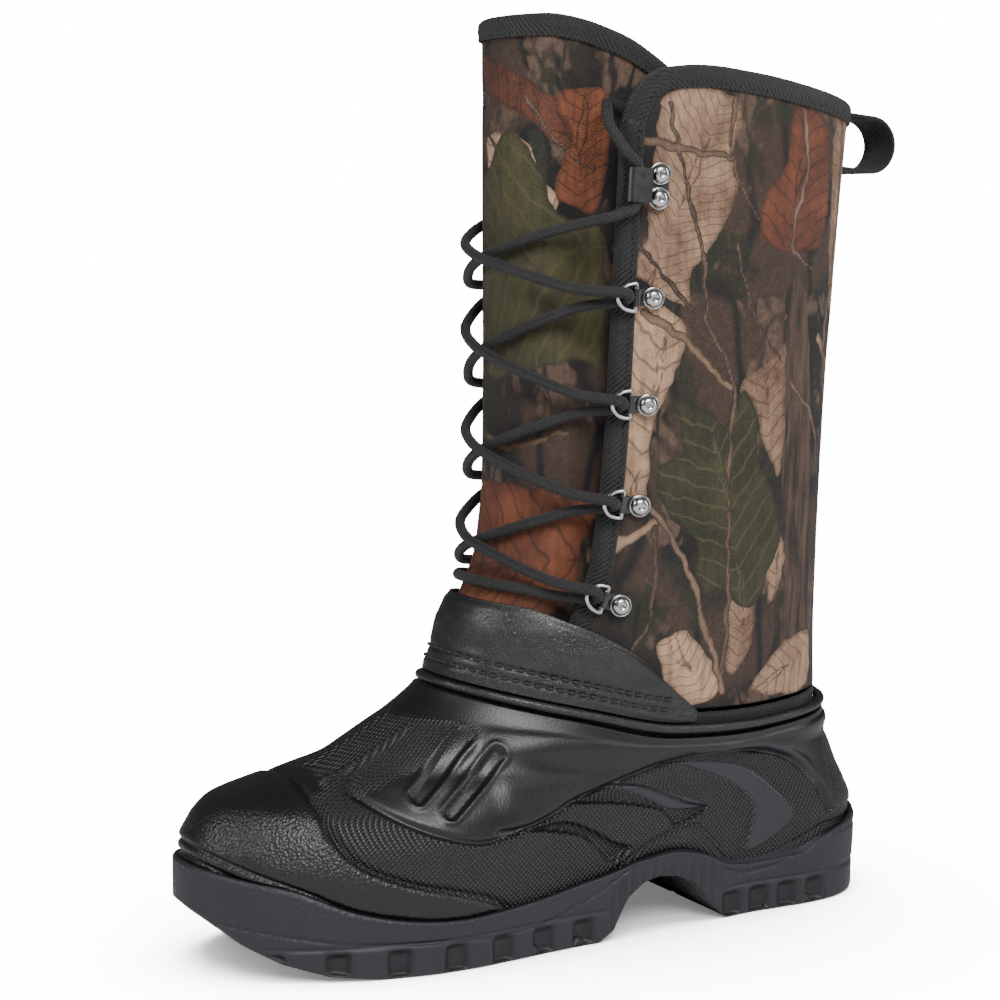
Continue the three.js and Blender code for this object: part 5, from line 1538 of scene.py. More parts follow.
@dataclass
class Shell:
    """The moulded shell: a closed cup with its collar, its side and toe relief and its textures."""

    finishes: Finishes
    dotted_below: tuple = ((-118, 78), (-98, 69), (-85, 61), (-69, 54), (-52, 50), (-44, 53), *PANEL_EDGE[1:])
    side_relief: tuple = (
        Relief(((-30, 53), (-12, 54), (2, 48), (12, 42), (21, 38), (11, 33), (4, 41), (-7, 48), (-23, 52)),
               -1.7, 1.6),
        Relief(((-6, 61), (3, 65), (16, 66), (32, 62), (50, 54), (62, 50), (45, 45), (38, 52), (21, 57),
                (3, 60)), -1.5, 1.6),
        Relief(PANEL_EDGE, -1.1, 1.3, closed=False),
    )
    inlays: tuple = (
        Relief(((14, 65), (32, 62), (62, 51), (43, 52), (27, 60)), 0.9, 1.2),
        Relief(((47, 71), (66, 69), (84, 64), (98, 54), (108, 43), (105, 37), (97, 32), (84, 28), (86, 37),
                (88, 45), (84, 53), (72, 61), (58, 67)), 0.9, 1.4, rim=0.2),
    )
    inlay_arc: Relief = Relief(((55, 75), (72, 76), (88, 74), (106, 69), (117, 62), (122, 53)), 1.0, 1.7,
                               closed=False)
    toe_cap: tuple = ((-110, 84), (-114, 76), (-114, 70), (-111, 56), (-101, 45), (-83, 37), (-65, 32),
                      (-49, 27), (-37, 20))
    vamp_ridges: tuple = (((-5, -106), (-4, -79), (-4, -50)), ((13, -106), (12, -87), (12, -66)))
    vamp_panel: tuple = ((-40, 110), (-50, 101), (-64, 92), (-85, 82), (-98, 74), (-98, 71), (-85, 62),
                         (-69, 55), (-52, 51), (-35, 53))
    vamp_slots: tuple = (((-75, 69), (-48, 88)), ((-64, 63), (-38, 82)))
    rand_lines: tuple = (((-166, 55), (-157, 51), (-140, 43), (-123, 36), (-103, 27), (-75, 21)),
                         ((-166, 50), (-155, 45), (-140, 38), (-120, 29), (-100, 20)))
    wall: float = 4.0
    flare: float = 3.4
    floor_lift: float = 4.0

    def columns(self) -> Array:
        """Angles at equal steps round the shell, 0 to 360."""
        degrees = np.linspace(0, 360, 1441)
        ring = by_ring(degrees, np.full(degrees.shape, 1.5))
        length = run_length(ring)
        return np.interp(np.linspace(0, length[-1], 521)[:-1], length, degrees)

    def relief(self, p: Array) -> dict:
        """Height of the relief and weights of the textures at points of the surface.

        Args:
            p: points, (..., 3).

        Returns:
            lift in millimetres; dots, pebble and inlay in 0..1. The medial side repeats the lateral one.
        """
        flat = p.reshape(-1, 3)
        side = np.stack([np.abs(flat[:, 0]), flat[:, 1], flat[:, 2]], axis=1)
        chart = side[:, 1:]
        upright = smooth(side[:, 0], 14, 26)
        lift = np.zeros(len(flat))
        for item in self.side_relief:
            lift += 1.7 * item.read(chart)[0] * upright
        inlay = np.zeros(len(flat))
        for item in (*self.inlays, self.inlay_arc):
            height, within = item.read(chart)
            lift += height * upright
            inlay = np.maximum(inlay, within * upright)
        under = np.interp(chart[:, 0], *np.array(PANEL_EDGE, float).T) - chart[:, 1]
        lift += 0.8 * smooth(-under, -0.7, 0.7) * upright * smooth(chart[:, 0], -46, -36)
        below = np.interp(chart[:, 0], *np.array(self.dotted_below, float).T) - chart[:, 1]
        zone = smooth(below, 0.5, 2.5) * (1 - inlay)
        low = np.interp(chart[:, 0], *np.array(SOLE_EDGE, float).T)
        lift -= 1.1 * np.exp(-((chart[:, 1] - low - 1.5) / 1.1) ** 2) * smooth(side[:, 0], 10, 20)
        cap_line = spline(self.toe_cap, 6)
        cap = line_distance(chart, cap_line)
        behind = np.interp(chart[:, 1], cap_line[::-1, 1], cap_line[::-1, 0])
        front = smooth(behind - chart[:, 0], 0.5, 4)
        lift += -1.9 * np.exp(-(cap / 1.5) ** 2) + 0.8 * front
        topside = smooth(chart[:, 1], 58, 68)
        for line in self.vamp_ridges:
            lift += 1.2 * np.exp(-(line_distance(flat[:, :2], spline(line, 6)) / 1.7) ** 2) * topside
        flank = smooth(side[:, 0], 13, 18)
        panel = line_distance(chart, spline(self.vamp_panel, 6))
        lift -= 1.5 * np.exp(-(panel / 1.2) ** 2) * flank
        for line in self.vamp_slots:
            slot = line_distance(chart, np.array(line, float))
            lift += (0.7 * np.exp(-((slot - 3.4) / 0.8) ** 2) - 1.9 * smooth(-slot, -2.7, -1.6)) * flank
        for line in self.rand_lines:
            lift -= 1.3 * np.exp(-(line_distance(chart, spline(line, 6)) / 1.0) ** 2)
        vamp = (1 - smooth(side[:, 0], 22, 30)) * smooth(side[:, 1], -110, -104)
        vamp = vamp * (1 - smooth(side[:, 1], -40, -30))
        heel = smooth(side[:, 1], 128, 134) * (1 - smooth(side[:, 2], 78, 84))
        dots = np.clip((zone * upright + 0.8 * vamp + 0.6 * heel) * (1 - front), 0, 1)
        values = {"lift": lift, "dots": dots, "pebble": front, "inlay": inlay}
        return {k: v.reshape(p.shape[:-1]) for k, v in values.items()}

    def floor(self, angle: Array, k: Array, inset: float, lift: float) -> Array:
        """Point of a foot's floor: k runs from the middle line to the wall's foot, inset from the last."""
        s = share(angle)
        edge = on_shell(angle, 0.0, -inset)
        x = through([(0, LAST[0].middle[0]), (0.5, LAST[0].middle[1]), (1, LAST[0].middle[2])], s)
        y = (-157 + 314 * s) * (1 - inset / 157)
        z = through(list(FLOOR), s) + lift
        return np.stack([lerp(x, edge[..., 0], k), lerp(y, edge[..., 1], k), z], axis=-1)

    def build(self) -> None:
        """Shell with its outer relief, and a plain inner face that the bootie lies in."""
        angle = self.columns()
        drop = 6 - 2.8 / (collar_height(angle) - by_ring(angle, 5.0)[:, 2])
        shares = np.concatenate([np.linspace(1, 0.75, 40), np.linspace(0.75, 0.5, 44)[1:],
                                 np.linspace(0.5, 0.02, 84)[1:78], [0.032, 0.02]])
        t = drop[:, None] * shares[None]
        a = np.broadcast_to(angle[:, None], t.shape)
        flare = smooth(t, 4.4, 5.3)
        bare = by_ring(a, t)
        made = self.relief(bare)
        quiet = smooth(-t, -5.55, -5.35) * smooth(t, 0.02, 0.25)
        uneven = 0.25 * (value_noise(bare, 17, 61) - 0.5)
        lift = (made["lift"] + uneven) * quiet
        lift = np.where(t < 0.34, np.minimum(lift, -0.1), lift)
        outer = on_shell(a, t, self.flare * flare + lift)
        floor_rows = np.linspace(0.97, 0, 4)
        fa, inward = np.broadcast_arrays(angle[:, None], floor_rows[None])
        outer = np.concatenate([outer, self.floor(fa, inward, 0.0, 0.0)], axis=1)
        inner_offset = lambda t: lerp(-self.wall, 0.8, smooth(t, 4.4, 5.3))
        wall = on_shell(a, t, inner_offset(t))
        foot = self.floor(fa, inward, self.wall, self.floor_lift)
        step = np.arange(t.shape[1] - 1, -1, -1)[None] * 0.03
        wall[..., 2] = np.maximum(wall[..., 2], foot[:, :1, 2] + 0.1 + step)
        inner = np.concatenate([wall, foot], axis=1)
        pad = lambda v: np.concatenate([v, np.zeros(fa.shape)], axis=1)
        length = run_length(by_ring(angle, 1.5))
        around = np.broadcast_to(length[:, None], outer.shape[:2])
        cloth = np.stack([around, outer[..., 2]], axis=-1)
        values = {k: pad(made[k] * quiet) for k in ("dots", "pebble", "inlay")}
        values["cloth"] = cloth
        reverse = lambda v: v[:, ::-1]
        kept = np.r_[0:40:4, 40:150:12, 156, len(shares) - 1:outer.shape[1]]
        shape = slab(reverse(outer), reverse(inner), {k: reverse(v) for k, v in values.items()}, wrap=True,
                     keep=outer.shape[1] - 1 - kept[::-1])
        make_piece("moulded_shell", shape, self.finishes.shell, Slot.SHELL, ("moulded_shell",))


@dataclass
class Outsole:
    """The rubber sole: a cupped wall with scalloped lugs round its edge, a tread and an arch."""

    finishes: Finishes
    tread_slots: tuple = (-128, -104, -80, -56, -32, -10, 92, 112, 132)
    tread_line: tuple = ((-180, 34), (-168, 30.5), (-158, 26), (-145, 14.5), (-132, 7.4), (-115, 2.2),
                         (-95, 0), (-40, 0), (6, 0), (13, 4), (20, 17), (28, 22.5), (36, 24), (46, 22.5),
                         (55, 18), (64, 8), (73, 0), (110, 0), (180, 0))
    lug_gaps: tuple = (-136, -112, -88, -64, -42, -22, -2, 76, 91, 106, 121)

    def under(self, p: Array) -> Array:
        """Height of the tread's surface under a point: the side line of the sole, plus its slots."""
        y = p[..., 1]
        line = np.interp(y, *np.array(self.tread_line, float).T)
        slot = np.zeros(y.shape)
        for place in self.tread_slots:
            bend = 6 * np.cos(np.clip(np.abs(p[..., 0]) / 45, 0, 1) * np.pi)
            slot = np.maximum(slot, 1 - smooth(np.abs(y - place + bend), 1.5, 2.9))
        middle = 1 - smooth(np.abs(p[..., 0] + 2), 1.5, 3.0)
        arch = smooth(y, 8, 20) * (1 - smooth(y, 55, 70))
        slot = np.maximum(slot, middle) * (1 - arch)
        tooth = 0.9 * np.abs(np.sin(p[..., 0] * np.pi / 9)) * arch
        return line + 3.6 * slot + tooth

    def build(self) -> None:
        """The sole as one closed grid: up the wall, over its top and down inside to the seat."""
        angle = Shell(self.finishes).columns()
        a = angle[:, None]
        wall = np.linspace(0, 1, 46)[None]
        a, w = np.broadcast_arrays(a, wall)
        foot = on_shell(a, 0.0, 2.0)
        seat = on_shell(a, 0.0, 3.0)
        top = on_shell(a, SOLE_LAP, SOLE_OFF)
        base = np.interp(foot[..., 1], *np.array(self.tread_line, float).T)
        z = lerp(base, top[..., 2], w)
        up = smooth(z, 6, 30)
        xy = lerp(foot[..., :2], seat[..., :2], up[..., None])
        xy = lerp(xy, top[..., :2], smooth(w, 0.85, 1.0)[..., None])
        points = np.concatenate([xy, z[..., None]], axis=-1)
        out = normal_of(by_ring, a, np.full(a.shape, 0.1), 0.02)
        out[..., 2] = 0
        out = unit(out)
        y = points[..., 1]
        scallop = np.zeros(y.shape)
        for place in self.lug_gaps:
            scallop = np.maximum(scallop, 1 - smooth(np.abs(y - place), 2.6, 6.2))
        sole_line = np.interp(y, *np.array(SOLE_EDGE, float).T)
        lug_zone = 1 - smooth(z, 8.5, 12.5)
        arch = smooth(y, 6, 18) * (1 - smooth(y, 60, 74))
        relief = -3.4 * scallop * lug_zone * (1 - arch)
        relief -= 0.9 * np.exp(-((z - 13.2) / 0.9) ** 2) * (1 - arch)
        relief -= 0.7 * np.exp(-((z - sole_line + 2.0) / 0.8) ** 2)
        relief -= 1.1 * smooth(np.sin(y * 2 * np.pi / 5.2), 0.1, 0.7) * arch * (1 - smooth(z, 22, 34))
        relief += 0.35 * (value_noise(points, 14, 71) - 0.6)
        edge = smooth(w, 0.0, 0.05) * smooth(1 - w, 0.0, 0.06)
        relief = np.minimum(relief, 0.0) * edge - 0.7 * (1 - edge)
        points = points + relief[..., None] * out
        points[:, 0, 2] = np.maximum(points[:, 0, 2], 0.0)
        # Painted shade mask: the lugs' hollows and the arch's grooves, where the sole's colour is darkened.
        recess = np.clip(scallop * lug_zone * (1 - arch) + 0.6 * arch * smooth(-relief, 0.4, 1.0), 0, 1)
        # The tread runs from the wall's foot to the middle line.
        k = np.linspace(1, 0, 60)[None] ** 0.9
        fa, k = np.broadcast_arrays(angle[:, None], k)
        rim = points[:, :1]
        x = through([(0, LAST[0].middle[0]), (0.5, LAST[0].middle[1]), (1, LAST[0].middle[2])], share(fa))
        centre = np.stack([x, -157 + 314 * share(fa), np.zeros(x.shape)], axis=-1)
        tread = lerp(centre, rim, k[..., None])
        ceiling = through(list(FLOOR), share(fa)) - 4 * GAP - 2.0
        height = np.minimum(self.under(tread), ceiling)
        blend = smooth(1 - k, 0.0, 0.03)
        tread[..., 2] = lerp(rim[..., 2], height, blend)
        # The seat inside goes up to the wall's top.
        inner_top = on_shell(angle[:, None], np.array([[SOLE_LAP]]), GAP)
        inner_foot = on_shell(angle[:, None], np.array([[0.0]]), GAP)
        inner_foot[..., 2] = np.minimum(inner_foot[..., 2], through(list(FLOOR), share(angle[:, None])) - GAP)
        steps = np.linspace(1, 0, 22)[None]
        fa2, k2 = np.broadcast_arrays(angle[:, None], steps)
        edge_in = on_shell(fa2, 0.0, GAP)
        x = through([(0, LAST[0].middle[0]), (0.5, LAST[0].middle[1]), (1, LAST[0].middle[2])], share(fa2))
        centre = np.stack([x, -157 + 314 * share(fa2), np.zeros(x.shape)], axis=-1)
        seat_grid = lerp(centre, edge_in, k2[..., None])
        seat_grid[..., 2] = through(list(FLOOR), share(fa2)) - GAP
        loop = np.concatenate([tread[:, ::-1], points[:, 1:], inner_top, seat_grid], axis=1)
        n, m = loop.shape[:2]
        # Painted shade for each point of the loop, read by the sole's material.
        value = np.zeros((n, m))
        value[:, k.shape[1]:k.shape[1] + 45] = recess[:, 1:]
        # The tread's slots get painted shade too, darker the deeper they are.
        slots = np.clip((height - np.interp(tread[..., 1], *np.array(self.tread_line, float).T)) / 3.6, 0, 1)
        value[:, :k.shape[1]] = slots[:, ::-1]
        pebble = np.zeros((n, m))
        pebble[:, k.shape[1]:k.shape[1] + 45] = (smooth(z, 14, 17) * (1 - arch))[:, 1:]
        shape = Shape(loop.reshape(-1, 3), grid_faces(n, m, wrap_rows=True),
                      {"recess": value.ravel(), "pebble": pebble.ravel()})
        make_piece("outsole", shape, self.finishes.sole, Slot.SOLE, ("outsole",))


@dataclass
class Collar:
    """The rolled bead of the shell's rim, and the ribbed welt below it."""

    finishes: Finishes

    def build(self) -> None:
        """Bead and welt."""
        angle = np.linspace(0, 360, 361)[:-1]
        z = collar_height(angle) + 0.2
        path = on_shaft(angle, z, 2.8)
        up = on_shaft(angle, z, 3.8) - path
        bead = sweep(path, circle(2.05, 14), unit(up), closed=True)
        make_piece("collar_bead", bead, self.finishes.leather, Slot.SHELL, ("collar_bead",))
        rows = np.array([5.42, 5.6, 5.8, 6.0, 6.08, 6.14, 6.2, 6.262])
        angle = np.linspace(0, 360, 901)[:-1]
        a, t = np.broadcast_arrays(angle[:, None], rows[None])
        rib = 0.10 * np.sin(a * np.pi / 180 * 300)
        proud = 0.5 * smooth(t, 6.02, 6.22)
        shape = slab(on_shell(a, t, -GAP - 0.12 + rib + proud), on_shell(a, t, -1.9),
                     {"cloth": np.stack([a * 1.3, t * 12], axis=-1)}, wrap=True)
        make_piece("collar_welt", shape, self.finishes.welt, Slot.TWILL, ("collar_welt",))


@dataclass
class Lining:
    """The felt bootie and the insole inside the shell."""

    finishes: Finishes

    def finish_node(self, node: str, material: bpy.types.Material, slot: Slot) -> None:
        """Give a node that is hidden inside the boot its finish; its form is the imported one."""
        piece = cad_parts[node]
        piece.data.materials.clear()
        piece.data.materials.append(material)
        log.info("%s: finish only", node)

    def build(self) -> None:
        """Bootie and insole, which the shaft hides."""
        self.finish_node("insulated_bootie", self.finishes.fleece, Slot.FLEECE)
        self.finish_node("insole", self.finishes.felt, Slot.FELT)


# ---------------------------------------------------------------- hardware
LACE_ROWS = (270, 226, 185, 147)
HOOK_ROW = 316
BAR_INSET = 7.5


@dataclass(frozen=True)
class Fitting:
    """Where a ring or hook sits on a flap: x back from the bar, up along the edge, out of the cloth."""

    origin: Array
    x: Array
    up: Array
    out: Array

    @staticmethod
    def at(side: int, z: float) -> "Fitting":
        """The fitting's axes at a height of one flap's edge."""
        line = np.array([z - 2.0, z, z + 2.0])
        p = on_shaft(side * edge_angle(line), line)
        along = unit(p[2] - p[0])
        places = near_edge(np.array([side * edge_angle(z)]), np.array([z]), along[None],
                           side * np.array([BAR_INSET - 3, BAR_INSET, BAR_INSET + 3]), np.zeros(3))[0]
        x = unit(places[2] - places[0])
        up = unit(along - x * (along @ x))
        return Fitting(places[1], x, up, unit(np.cross(x, up) * side))

    def place(self, points: Array) -> Array:
        """Points given as (back, along the edge, off the cloth)."""
        p = np.asarray(points, float)
        return self.origin + p[..., :1] * self.x + p[..., 1:2] * self.up + p[..., 2:3] * self.out

    def put(self, shape: Shape) -> Shape:
        """A shape drawn in the fitting's own axes."""
        return Shape(self.place(shape.points), shape.faces, shape.values)


@dataclass
class Hardware:
    """Eight wire rings on their clips and rivets, and two speed hooks with two rivets each."""

    finishes: Finishes
    wire: float = 1.02
    rivet_radius: float = 4.7
    ring_tilt: float = 28.0

    def ring(self, fitting: Fitting) -> Shape:
        """The D of wire: a straight bar in the clip and a bow that leans off the cloth."""
        tilt = np.radians(self.ring_tilt)
        a = np.pi * np.arange(1, 27) / 27
        bow = np.stack([9.4 * np.sin(a) ** 0.8 + 0.35, 5.6 * np.cos(a)], axis=1)
        bar = np.stack([np.zeros(5), np.linspace(-5.6, 5.6, 5)], axis=1)
        plan = np.concatenate([bar, bow])
        path = np.stack([-plan[:, 0] * np.cos(tilt), plan[:, 1], 4 + plan[:, 0] * np.sin(tilt)], axis=1)
        path = spline(np.concatenate([path, path[:1]]), 3)[:-1]
        across = np.array([np.sin(tilt), 0, np.cos(tilt)])
        return fitting.put(sweep(path, circle(self.wire, 10), np.tile(across, (len(path), 1)), closed=True))

    def clip(self, fitting: Fitting) -> Shape:
        """The folded clip: an eye round the bar and a tail under the rivet."""
        profile = np.concatenate([[[11.5, 1.8], [11.5, 2.8]], clip_eye(1.42, 2.2)])
        return fitting.put(extruded(profile, 3.5))

    def rivet(self, fitting: Fitting, c: float) -> Shape:
        """A round washer, a groove and a domed head with a flat crown."""
        r = self.rivet_radius
        profile = np.array([
            [0, 3.1], [r * 0.6, 3.1], [r - 0.25, 3.1], [r, 3.32], [r, 3.7], [r - 0.2, 3.95], [4.25, 4.0],
            [4.12, 3.8], [4.02, 3.85], [3.95, 4.3], [3.8, 4.9], [3.45, 5.5], [2.95, 6.0], [2.3, 6.38],
            [1.7, 6.58], [1.45, 6.55], [1.25, 6.38], [0.9, 6.3], [0.45, 6.33], [0, 6.35]])
        shape = lathe(profile, 40)
        points = np.stack([shape.points[:, 0] + 7.5, shape.points[:, 1] + c, shape.points[:, 2]], axis=1)
        return fitting.put(Shape(points, shape.faces, {}))

    def hook(self, fitting: Fitting) -> Shape:
        """The speed hook: a plate that folds over itself with a lip that holds the lace."""
        fold = np.radians(np.linspace(-90, -270, 15))
        inner = np.stack([-3.6 + 2.65 * np.cos(fold), 5.45 + 2.65 * np.sin(fold)], axis=1)
        outer = np.stack([-3.6 + 3.65 * np.cos(fold[::-1]), 5.45 + 3.65 * np.sin(fold[::-1])], axis=1)
        foot, lip = [[11.5, 1.8], [11.5, 2.8]], [[3.0, 8.1], [3.2, 8.3], [3.2, 8.9], [3.0, 9.1]]
        profile = np.concatenate([foot, inner, lip, outer])
        return fitting.put(extruded(profile, 7.0))

    def build(self) -> None:
        """All fittings of both flaps; the rings ride on their own bodies."""
        for side, label in ((1, "lateral"), (-1, "medial")):
            for row, z in enumerate(LACE_ROWS, start=2):
                fitting = Fitting.at(side, z)
                where = f"{label}_{row}"
                make_piece(f"d_ring_{where}", self.ring(fitting), self.finishes.bright, Slot.BRIGHT,
                           (f"d_ring_{where}",), body=f"d_ring_{where}")
                make_piece(f"ring_clip_{where}", self.clip(fitting), self.finishes.dark, Slot.DARK,
                           (f"ring_clip_{where}",), soft=False, bevel=0.15)
                make_piece(f"ring_rivet_{where}", self.rivet(fitting, 0.0), self.finishes.bright, Slot.BRIGHT,
                           (f"ring_rivet_{where}",))
            fitting = Fitting.at(side, HOOK_ROW)
            make_piece(f"speed_hook_{label}", self.hook(fitting), self.finishes.dark, Slot.DARK,
                       (f"speed_hook_{label}",), soft=False, bevel=0.25)
            for c, which in ((5.1, "upper"), (-5.1, "lower")):
                make_piece(f"hook_rivet_{label}_{which}", self.rivet(fitting, c), self.finishes.bright,
                           Slot.BRIGHT, (f"hook_rivet_{label}_{which}",))


def clip_eye(inner: float, outer: float) -> Array:
    """The clip's eye as seen from its end: round the inside of the eye and back round its outside."""
    start = np.degrees(np.arcsin((2.8 - 4) / inner))
    hollow = np.radians(np.linspace(start, start + 300, 24))
    around = np.radians(np.linspace(start + 300, -88, 26))
    inner_line = np.stack([inner * np.cos(hollow), 4 + inner * np.sin(hollow)], axis=1)
    outer_line = np.stack([outer * np.cos(around), 4 + outer * np.sin(around)], axis=1)
    return np.concatenate([inner_line, outer_line])


def extruded(profile: Array, half: float) -> Shape:
    """A profile of (back, off the cloth), carried half the width to each side along the edge."""
    n = len(profile)
    low = np.stack([profile[:, 0], np.full(n, -half), profile[:, 1]], axis=1)
    high = low + np.array([0, 2 * half, 0])
    walls = grid_faces(2, n, wrap_columns=True)
    shape = Shape(np.concatenate([low, high]), walls, {})
    return capped(shape, profile, n)


def capped(shape: Shape, profile: Array, n: int) -> Shape:
    """Close both ends of an extrusion with triangles of its profile, cut ear by ear.

    Args:
        shape: the walls, with the lower end's points first.
        profile: the end's outline, (n, 2).
        n: how many points it has.

    Returns:
        The closed shape.
    """
    area = np.sum(profile[:, 0] * np.roll(profile[:, 1], -1) - np.roll(profile[:, 0], -1) * profile[:, 1])
    order = list(range(n)) if area > 0 else list(range(n - 1, -1, -1))
    triangles = []
    cross = lambda o, a, b: (a[0] - o[0]) * (b[1] - o[1]) - (a[1] - o[1]) * (b[0] - o[0])
    while len(order) > 3:
        for k in range(len(order)):
            i, j, l = order[k - 1], order[k], order[(k + 1) % len(order)]
            a, b, c = profile[i], profile[j], profile[l]
            if cross(a, b, c) <= 1e-12:
                continue
            others = [profile[m] for m in order if m not in (i, j, l)]
            if any(cross(a, b, p) >= 0 and cross(b, c, p) >= 0 and cross(c, a, p) >= 0 for p in others):
                continue
            triangles.append((i, j, l))
            order.pop(k)
            break
        else:
            break
    triangles.append(tuple(order[:3]))
    t = np.array(triangles)
    low = np.stack([t[:, 0], t[:, 1], t[:, 2], t[:, 2]], axis=1)
    high = np.stack([t[:, 2], t[:, 1], t[:, 0], t[:, 0]], axis=1) + n
    return Shape(shape.points, np.concatenate([shape.faces, low, high]), shape.values)


# ---------------------------------------------------------------- lace


@dataclass
class Lace:
    """The round lace, crossed between the rings, through the hooks, with its ends tucked in."""

    finishes: Finishes
    diameter: float = 4.6
    ring_pass: tuple = ((-7.9, -2.2, 4.3), (-5.1, -1.1, 5.5), (-4, 0, 8.4), (-5.1, 1.1, 11.5),
                        (-8, 2.2, 12.9))
    strand_angles: tuple = (41, 28, 14, 0, -14, -28, -41)
    strand_rise: tuple = (0.1, 0.22, 0.36, 0.5, 0.64, 0.78, 0.9)
    strand_over: tuple = (10.4, 7.4, 7.4, 8.3, 6.9, 4, 3)
    strand_under: tuple = (10.4, 6, 3.6, 3.2, 3.2, 3.4, 3)
    bar: tuple = ((0, 149.5, 2.2), (14, 149, 2.2), (28, 148, 2.4), (40, 146, 2.6))
    hook_pass: tuple = ((-12, -13.5, 5), (-8.6, -11.8, 5.2), (-4.4, -10.4, 5.5), (-2.2, -7, 5.45),
                        (-2.2, 0, 5.45), (-2.2, 7, 5.45), (-4.6, 10.4, 5.6), (-9, 15, 5.4))
    tuck: tuple = ((49.6, 340, 4), (49, 345, 1.5), (48.8, 348, -3), (49.4, 349.5, -8), (52, 349, -11.4),
                   (57, 346, -12.2), (61, 340, -12.2), (64, 328, -12.2), (66, 310, -12.2), (66, 290, -12.2))
    aglet: tuple = ((66, 289.2, -12.2), (66, 272, -12.2))
    hook_entry: int = 13

    def half(self, first: int) -> tuple[list, int]:
        """One half's route, from beside the front bar up to the tucked end.

        Args:
            first: the side it starts on, 1 lateral or -1 medial.

        Returns:
            Its points, and the side it ends on.
        """
        points = [on_shaft(first * a, z, b) for a, z, b in self.bar[1:]]
        side = first
        rows = LACE_ROWS[::-1]
        for i, row in enumerate(rows):
            points.extend(Fitting.at(side, row).place(self.ring_pass))
            following = rows[i + 1] if i + 1 < len(rows) else HOOK_ROW - self.hook_entry
            lifts = self.strand_over if (first > 0) == (i % 2 == 0) else self.strand_under
            for a, rise, lift in zip(self.strand_angles, self.strand_rise, lifts):
                points.append(on_shaft(side * a, lerp(row, following, rise), lift))
            side = -side
        points.extend(Fitting.at(side, HOOK_ROW).place(self.hook_pass))
        points.extend(on_shaft(side * a, z, b) for a, z, b in self.tuck)
        return points, side

    def route(self) -> Array:
        """The whole centreline, from the medial half's end to the lateral half's."""
        left, right = self.half(-1)[0], self.half(1)[0]
        return np.array([*left[::-1], on_shaft(0, self.bar[0][1], self.bar[0][2]), *right], float)

    def build(self) -> None:
        """The cord as a tube with a braided ridge, and its tips."""
        points = self.route()
        line = resample(spline(points, 14), 1.0)
        r = self.diameter / 2
        sides = 14
        turn = np.arange(sides) * 2 * np.pi / sides
        length = np.arange(len(line)) * 1.0
        strands, rise = turn[None] * 8, length[:, None] * 3.7
        ridge = 0.055 * np.cos(strands + rise) * np.cos(strands - rise)
        profile = (r - 0.04 + ridge)[..., None] * np.stack([np.cos(turn), np.sin(turn)], axis=-1)[None]
        shape = sweep(line, profile, np.array([0.0, 0.3, 1.0]))
        lace = make_piece("lace", shape, self.finishes.lace, Slot.LACE, ("lace",))
        for side, label in ((1, "lateral"), (-1, "medial")):
            ends = np.array([on_shaft(side * a, z, b) for a, z, b in self.aglet])
            core = resample(ends, 1.0)
            t = np.linspace(0, 1, len(core))
            crimp = 2.05 * np.minimum(1, np.minimum(t, 1 - t) * 12 + 0.72) - 0.10 * (np.sin(t * 40) > 0.7)
            outline = crimp[:, None, None] * circle(1.0, 14)[None]
            tip = make_piece(f"aglet_{label}", sweep(core, outline, np.array([1.0, 0, 0])), self.finishes.tip,
                             Slot.TIP, (f"aglet_{label}",))
            tip.name


# ---------------------------------------------------------------- pull loop
class PullLoop:
    """The webbing loop behind the rim, on its sewn-down base."""

    width: float = 22.0

    def __init__(self, finishes: Finishes) -> None:
        """Keep the finishes, and work out the loop's axes at the back of the shaft."""
        self.finishes = finishes
        self.origin = on_shaft(180.0, 337.0)
        self.up = unit(on_shaft(180.0, 347.0) - on_shaft(180.0, 327.0))
        self.out = np.array([0, self.up[2], -self.up[1]])

    def tape(self, line: Array, thickness: float) -> Shape:
        """Webbing along a line of (out, up) places: a flat tape with soft edges and woven selvedges."""
        path = self.origin + line[:, :1] * self.out + line[:, 1:] * self.up
        outline = box_outline(self.width, thickness, min(0.6, thickness / 2 - 0.05))
        across = outline[:, 0]
        cord_edge = 0.12 * np.exp(-((np.abs(across) - 9.6) / 0.8) ** 2)
        outline = np.stack([across, outline[:, 1] + np.sign(outline[:, 1]) * cord_edge], axis=1)
        along = unit(np.gradient(path, axis=0))
        side = np.array([1.0, 0, 0])
        shape = sweep(path, outline, np.cross(side, along))
        return shape

    def loop_line(self) -> Array:
        """Middle line of the loop: out from the upper leg, round, and back to the lower one."""
        r = 12.2
        turn = np.linspace(np.pi / 2, -np.pi / 2, 30)
        start = 3.9 + np.sqrt(15.3 ** 2 - r ** 2)
        leg = np.linspace(start, 19.9, 8)[:-1]
        upper = np.stack([leg, np.full(7, r)], axis=1)
        bow = np.stack([19.9 + r * np.cos(turn), r * np.sin(turn)], axis=1)
        return np.concatenate([upper, bow, upper[::-1] * np.array([1, -1])])

    def base_line(self) -> Array:
        """Middle line of the base: the upper leg's stub, the plate on the shaft, the lower leg's stub."""
        r = 12.2
        end = 3.9 + np.sqrt(15.0 ** 2 - r ** 2)
        corner = np.radians(np.linspace(90, 180, 7))
        bend = np.stack([3.0 + 2.0 + 2.0 * np.cos(corner), r - 2.0 + 2.0 * np.sin(corner)], axis=1)
        upper = np.concatenate([[[end, r], [(end + 5) / 2, r]], bend])
        return np.concatenate([upper, [[3.0, 4], [3.0, 0], [3.0, -4]], upper[::-1] * np.array([1, -1])])

    def build(self) -> None:
        """Loop on its own body, and base on the boot."""
        make_piece("pull_loop", self.tape(resample(self.loop_line(), 0.8), 1.7), self.finishes.webbing,
                   Slot.WEBBING, ("pull_loop",), body="pull_loop")
        make_piece("pull_loop_base", self.tape(resample(self.base_line(), 0.8), 1.7), self.finishes.webbing,
                   Slot.WEBBING, ("pull_loop_base",))


